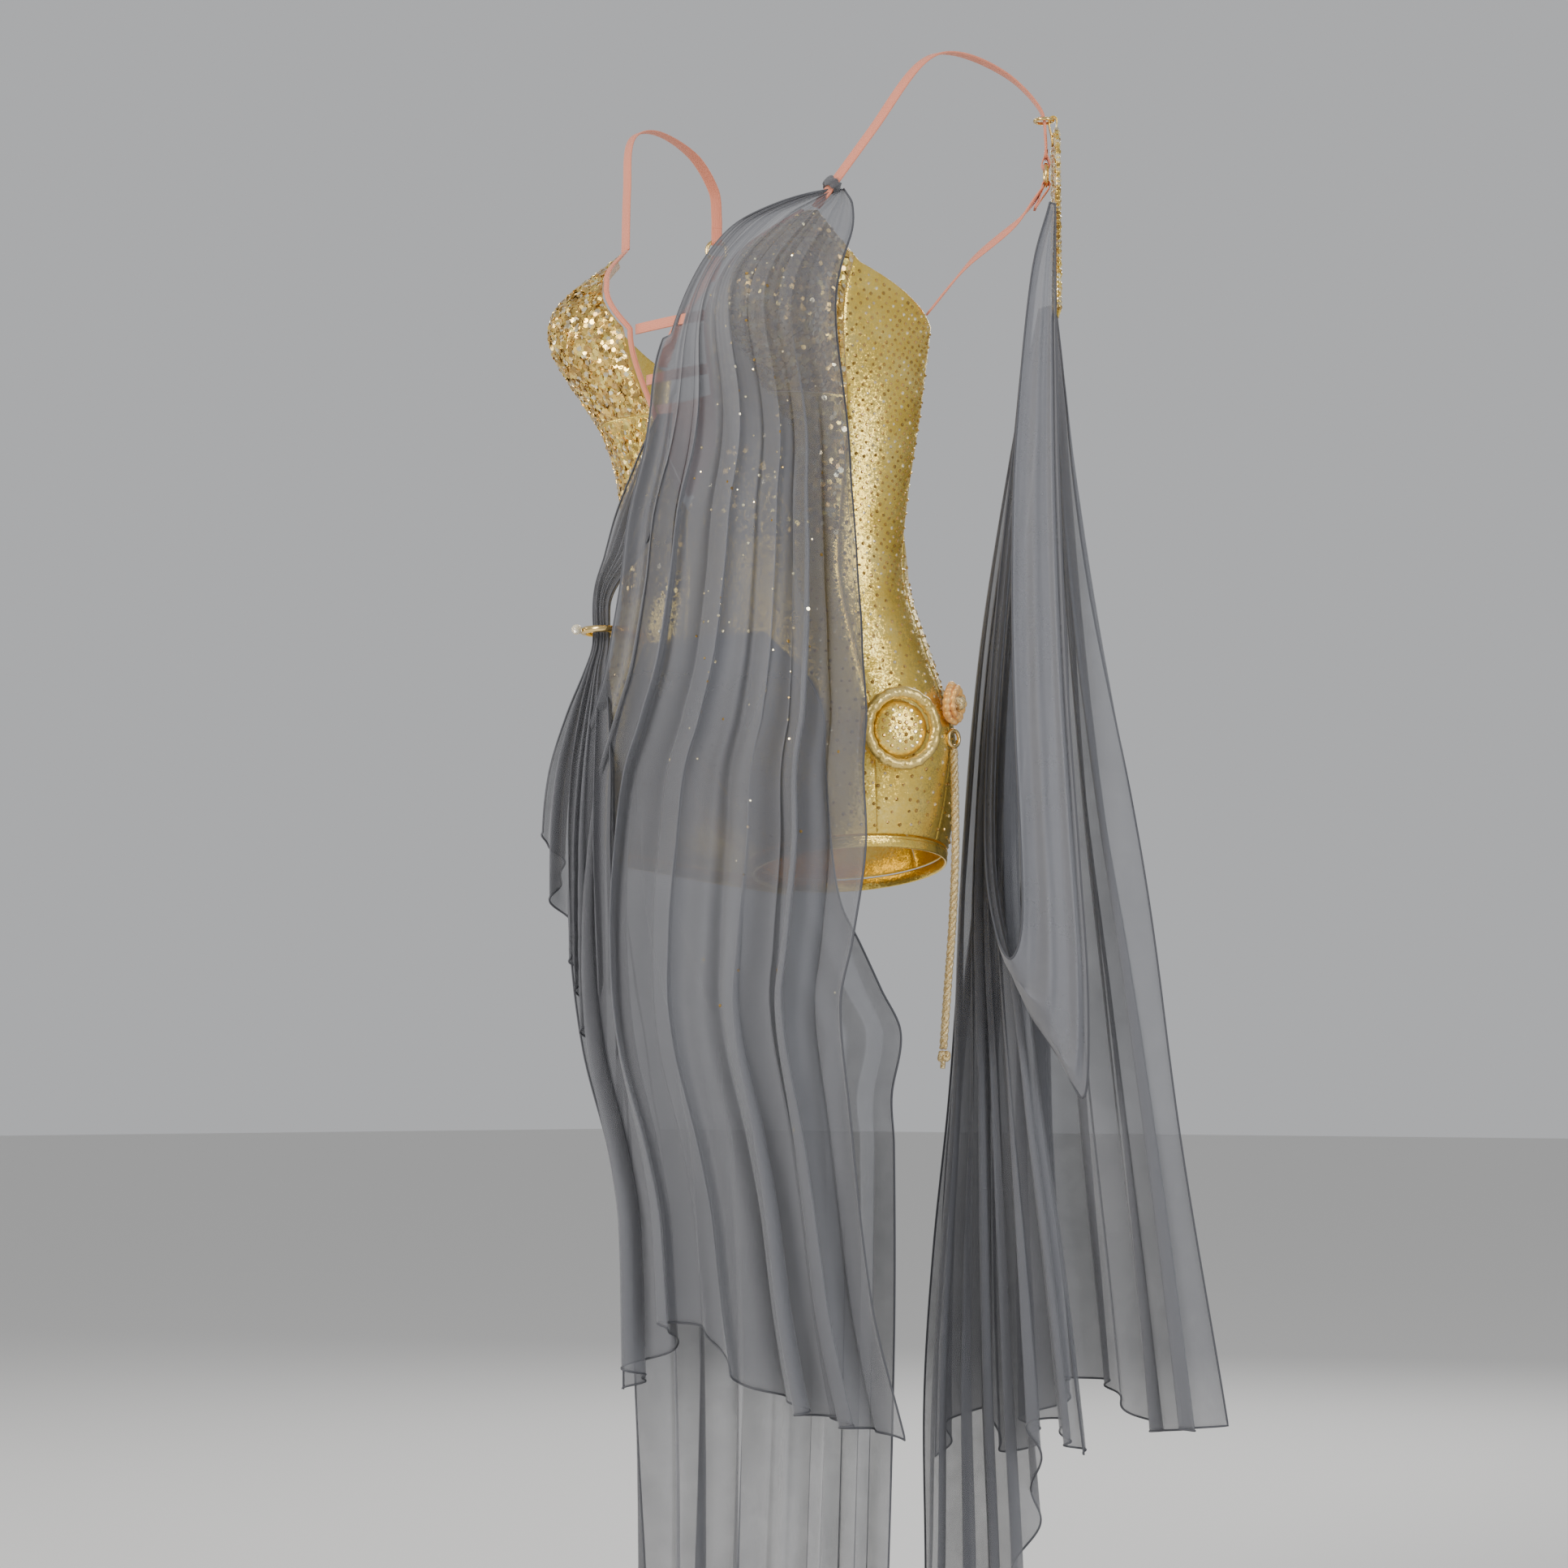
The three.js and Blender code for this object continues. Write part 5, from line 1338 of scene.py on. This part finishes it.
def hip_surface(s, t):
    hem = smooth_values(HIP_HEM[:, 0], HIP_HEM[:, 1], s)
    z = HIP_ABOVE[0, 0] + (hem - HIP_ABOVE[0, 0]) * t ** 1.25
    stand, lean = hip_folds(s, t)
    low, high, base, depth = [by_height(HIP_ABOVE, z, k) for k in (1, 2, 3, 4)]
    above = form_point(-1, high + (low - high) * s, z, base + depth * stand)
    across0, out0, across1, out1, depth = [by_height(HIP_BELOW, z, k) for k in (1, 2, 3, 4, 5)]
    line = np.stack([across1 - across0, out1 - out0], -1)
    line /= np.linalg.norm(line, axis=-1)[..., None]
    lean = 0.75 * depth * lean * np.sin(math.pi * s) ** 0.3
    stand = depth * stand
    across = across0 + (across1 - across0) * s + lean * line[..., 0] + stand * line[..., 1]
    out = out0 + (out1 - out0) * s + lean * line[..., 1] - stand * line[..., 0]
    below = ring_centre + across[..., None] * ring_across + out[..., None] * ring_out
    below[..., 2] = z
    share = np.clip((RING_ENTRY_Z - z) / RING_ENTRY, 0, 1)[..., None]
    share = share * share * (3 - 2 * share)
    return above * (1 - share) + below * share


hip_drape, hip_hem, hip_flat, hip_area = cloth_piece(
    "hip_chiffon", 190, 170, hip_surface, veil)

front_keepers = ["left_strap_elastic", "left_cup_shell_sewn"]
for cloth, hem, flat_size, area, held, rests, node, extras in (
        (front_drape, front_hem, front_flat, front_area, "gathered", front_keepers, "front_drape",
         [drape_stones]),
        (under_drape, under_hem, under_flat, under_area, "hung", ["left_front_panel_sewn"], "under_drape",
         []),
        (hip_drape, hip_hem, hip_flat, hip_area, "gathered", ["hip_ring_gilt"], "hip_drape", [])):
    for piece in [cloth, hem] + extras:
        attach(piece, "costume")
        "crystal" if piece in extras else "chiffon"
    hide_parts(node)
    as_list(rests)
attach(drape_keeper, "costume")
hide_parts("drape_keeper")

# ---------------------------------------------------------------------------------------
# Cape band: a stiffened strip of foil fabric closely covered with stones on both faces. It
# hangs by a fabric loop from a ring round the left strap, behind the shoulder.
# ---------------------------------------------------------------------------------------
CAPE_FROM_STRAP = 0.005
CAPE_BAND_TOP, CAPE_BAND_BOTTOM, CAPE_BAND_THICK = -0.0440, -0.188, 0.0026
CAPE_LOOP_RADIUS, CAPE_LOOP_WIRE = 0.0068, 0.0014
BAND_MIDDLE = 0.0025
EDGE_BEVEL = 24                     # how sharply the band's two edges are rounded over
EDGE_STONES = 39                    # along each edge of the band


def cape_point(out, wide, z):
    """Point of the cape: out from the strap ring, along the band's width, at a height."""
    out, wide, z = np.broadcast_arrays(*[np.asarray(a, float) for a in (out, wide, z)])
    point = STRAP_RING + (CAPE_FROM_STRAP + out)[..., None] * OUTWARD + wide[..., None] * ALONG
    point[..., 2] = z
    return point


def band_half(z):
    return np.interp(-z, [-CAPE_BAND_TOP, 0.058, 0.066], [0.012, 0.0205, 0.021])


loop_centre = box_centre("cape_loop")
cape_loop = torus_piece("cape_loop_gilt", CAPE_LOOP_RADIUS, CAPE_LOOP_WIRE, tuple(loop_centre),
                        (0, 0, 1), gilt)
band_z = np.linspace(CAPE_BAND_TOP, CAPE_BAND_BOTTOM, 60)
outline = np.array(band_section(2, CAPE_BAND_THICK))
outline[:, 0] = np.where(outline[:, 0] > 0, 1, -1) * (1 - EDGE_BEVEL * np.abs(outline[:, 1]))
rings = np.stack([cape_point(BAND_MIDDLE + outline[:, 1], outline[:, 0] * band_half(z), z) for z in band_z])
cape_band = mesh_piece("cape_band_strip", rings.reshape(-1, 3), swept_faces(len(band_z), len(outline)))
wire_place = np.array(loop_centre) + OUTWARD * CAPE_LOOP_RADIUS
drop = [(0.0006, -0.0190), (0.0012, -0.0120), (0.0028, -0.0035), (0.0028, 0.0012)]
drop = drop + [(0, 0.0030)] + [(-o, h) for o, h in reversed(drop)]
loop_line = smooth_route([wire_place + o * OUTWARD + np.array([0, 0, h]) for o, h in drop], 50)
hanger = swept_band("cape_hanger", loop_line, ALONG, band_section(0.0075, 0.0008))
cape_band = joined("cape_band_strip", [cape_band, hanger])
cape_band.data.materials.append(satin_foil)


def band_face(facing):
    """Surface function of the band's outer (1) or inner (-1) face."""
    def surface(u, v):
        z = CAPE_BAND_BOTTOM + 0.0015 + (CAPE_BAND_TOP - CAPE_BAND_BOTTOM - 0.003) * v
        wide = (2 * u - 1) * band_half(z) * 0.985
        return cape_point(BAND_MIDDLE + facing * CAPE_BAND_THICK / 2, wide * facing, z)
    return surface


band_looks = [champagne, topaz, sequin_gold]
band_stones = [stones_on("band_stones", band_face(facing), 0.0041, 0.0019, 71 + facing, 0.0, 1.0,
                         band_looks, [0.62, 0.18, 0.20], 0.12) for facing in (1, -1)]
for edge in (-1, 1):
    z = np.linspace(CAPE_BAND_TOP - 0.002, CAPE_BAND_BOTTOM + 0.002, EDGE_STONES)
    choice = np.random.default_rng(80 + edge).choice(3, EDGE_STONES)
    band_stones.append(stood_on("edge_stones", gem_shape(0.0017),
                                cape_point(BAND_MIDDLE, edge * band_half(z), z),
                                np.tile(edge * ALONG, (EDGE_STONES, 1)), np.ones(EDGE_STONES),
                                np.arange(float(EDGE_STONES)), np.zeros((EDGE_STONES, 3)),
                                band_looks, choice))
band_stones = joined("cape_band_stones", band_stones)
for piece, node, slot in ((cape_loop, "cape_loop", "gilt_metal"), (cape_band, "cape_band", "crystal_band")):
    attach(piece, "cape_body")
    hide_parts(node)
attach(band_stones, "cape_body")

# ---------------------------------------------------------------------------------------
# Cape chiffon: three lengths of the drape's chiffon gathered into the foot of the band. The
# outer one fans out behind the hip, the swag hangs in a deep U, and the train is longest.
# ---------------------------------------------------------------------------------------
# Height, then how far out and how far along the band each of the two edges is, fold depth.
OUTER = np.array([(-0.184, 0.000, 0.020, 0.001, -0.002, 0.0012),
                  (-0.240, -0.006, 0.034, 0.004, -0.020, 0.0040),
                  (-0.314, -0.012, 0.044, 0.008, -0.036, 0.0065),
                  (-0.426, -0.028, 0.058, 0.019, -0.044, 0.0100),
                  (-0.562, -0.050, 0.070, 0.038, -0.050, 0.0130),
                  (-0.684, -0.066, 0.078, 0.057, -0.054, 0.0150),
                  (-0.806, -0.078, 0.084, 0.074, -0.056, 0.0165),
                  (-0.926, -0.084, 0.090, 0.090, -0.058, 0.0180),
                  (-1.060, -0.088, 0.096, 0.107, -0.060, 0.0200)])
OUTER_HEM = np.array([(0, -1.050), (0.15, -1.010), (0.30, -1.040), (0.48, -0.985), (0.66, -0.990),
                      (0.80, -1.015), (1.0, -1.012)])
TRAIN = np.array([(-0.180, -0.010, 0.006, -0.003, -0.005, 0.0012),
                  (-0.300, -0.034, 0.020, -0.016, -0.002, 0.0035),
                  (-0.450, -0.058, 0.030, -0.030, -0.006, 0.0060),
                  (-0.620, -0.074, 0.030, -0.034, -0.018, 0.0080),
                  (-0.778, -0.084, 0.018, -0.020, -0.038, 0.0100),
                  (-0.884, -0.094, 0.018, -0.006, -0.050, 0.0130),
                  (-1.000, -0.102, 0.020, 0.008, -0.054, 0.0150),
                  (-1.120, -0.104, 0.022, 0.020, -0.056, 0.0165),
                  (-1.235, -0.108, 0.024, 0.026, -0.058, 0.0180)])
TRAIN_HEM = np.array([(0, -1.235), (0.18, -1.225), (0.34, -1.150), (0.50, -1.190), (0.64, -1.080),
                      (0.78, -1.010), (0.90, -1.022), (1.0, -1.032)])
# The swag's inner and outer edges as it goes down one arm of the U and up the other: how far
# out, how far along the band, height.
SWAG_INNER = np.array([(-0.003, -0.010, -0.105), (-0.018, -0.010, -0.168), (-0.033, -0.022, -0.297),
                       (-0.045, -0.030, -0.400), (-0.054, -0.036, -0.503), (-0.057, -0.043, -0.600),
                       (-0.051, -0.053, -0.655), (-0.041, -0.060, -0.676), (-0.033, -0.066, -0.655),
                       (-0.033, -0.070, -0.600), (-0.037, -0.071, -0.503), (-0.038, -0.067, -0.400),
                       (-0.034, -0.058, -0.297), (-0.020, -0.038, -0.168), (-0.004, -0.022, -0.105)])
SWAG_OUTER = np.array([(-0.001, -0.005, -0.107), (-0.014, 0.002, -0.168), (-0.026, -0.001, -0.297),
                       (-0.038, -0.006, -0.410), (-0.047, -0.011, -0.520), (-0.047, -0.017, -0.620),
                       (-0.030, -0.031, -0.700), (-0.004, -0.048, -0.748), (0.013, -0.060, -0.775),
                       (0.015, -0.069, -0.700), (0.009, -0.073, -0.600), (0.002, -0.070, -0.480),
                       (-0.002, -0.060, -0.330), (-0.002, -0.040, -0.190), (0.000, -0.024, -0.107)])


def hanging_surface(table, hem_table, folds, dense):
    """Surface function of a cape layer that falls from the band, with gathers at its top."""
    def surface(s, t):
        top = table[0, 0]
        hem = smooth_values(hem_table[:, 0], hem_table[:, 1], s)
        z = top + (hem - top) * t ** 1.12
        out0, wide0, out1, wide1, depth = [by_height(table, z, k) for k in (1, 2, 3, 4, 5)]
        across = np.stack([out1 - out0, wide1 - wide0], -1)
        across /= np.linalg.norm(across, axis=-1)[..., None]
        stand, lean = folds(s, t)
        fine, _ = dense(s, t)
        stand = stand * depth + 0.0012 * fine * np.exp(-((top - z) / 0.12) ** 2)
        lean = lean * depth * 0.75
        out = out0 + (out1 - out0) * s + lean * across[..., 0] - stand * across[..., 1]
        wide = wide0 + (wide1 - wide0) * s + lean * across[..., 1] + stand * across[..., 0]
        return cape_point(out, wide, z)
    return surface


swag_folds = fold_field(3, 37)
# Same chiffon as the veil: its cover is raised because the swag hangs doubled, and its shade is painted
# lighter (0.24 against 0.19) as painted light on its lit folds.
swag_veil = chiffon_look("doubled_chiffon_painted_lighter", 0.24, 0.56)


def swag_surface(s, t):
    """s runs from the inner edge of the U to its outer edge, t along the U."""
    run = 0.5 - 0.5 * np.cos(math.pi * t) * (0.85 + 0.15 * np.cos(math.pi * t) ** 2)
    places = np.linspace(0, 1, len(SWAG_INNER))
    inner, outer = smooth_values(places, SWAG_INNER, run), smooth_values(places, SWAG_OUTER, run)
    point = inner + (outer - inner) * s[..., None]
    stand, _ = swag_folds(s, run)
    inwards = np.sin(math.pi * np.clip(s * 0.92 + 0.04, 0, 1)) ** 0.5
    depth = 0.0005 + 0.0060 * np.sin(math.pi * run) ** 0.8 * inwards
    ahead = np.clip((run - 0.35) / 0.3, 0, 1)
    facing = np.stack([0.4 - 0.3 * ahead, -0.9 + 0.1 * ahead, np.zeros_like(run)], -1)
    point = point + (stand * depth)[..., None] * facing
    return cape_point(point[..., 0], point[..., 1], point[..., 2])


outer_surface = hanging_surface(OUTER, OUTER_HEM, fold_field(7, 41), fold_field(16, 42))
train_surface = hanging_surface(TRAIN, TRAIN_HEM, fold_field(6, 51), fold_field(12, 52))
cape_sheets = (("cape_outer_chiffon", outer_surface, 210, 190, "cape_outer_layer", veil),
               ("cape_swag_chiffon", swag_surface, 70, 260, "cape_swag_layer", swag_veil),
               ("cape_train_chiffon", train_surface, 190, 180, "cape_train_layer", veil))
for name, surface, columns, rows, node, look in cape_sheets:
    cloth, hem, flat_size, area = cloth_piece(name, columns, rows, surface, look)
    for piece in (cloth, hem):
        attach(piece, "cape_body")
    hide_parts(node)
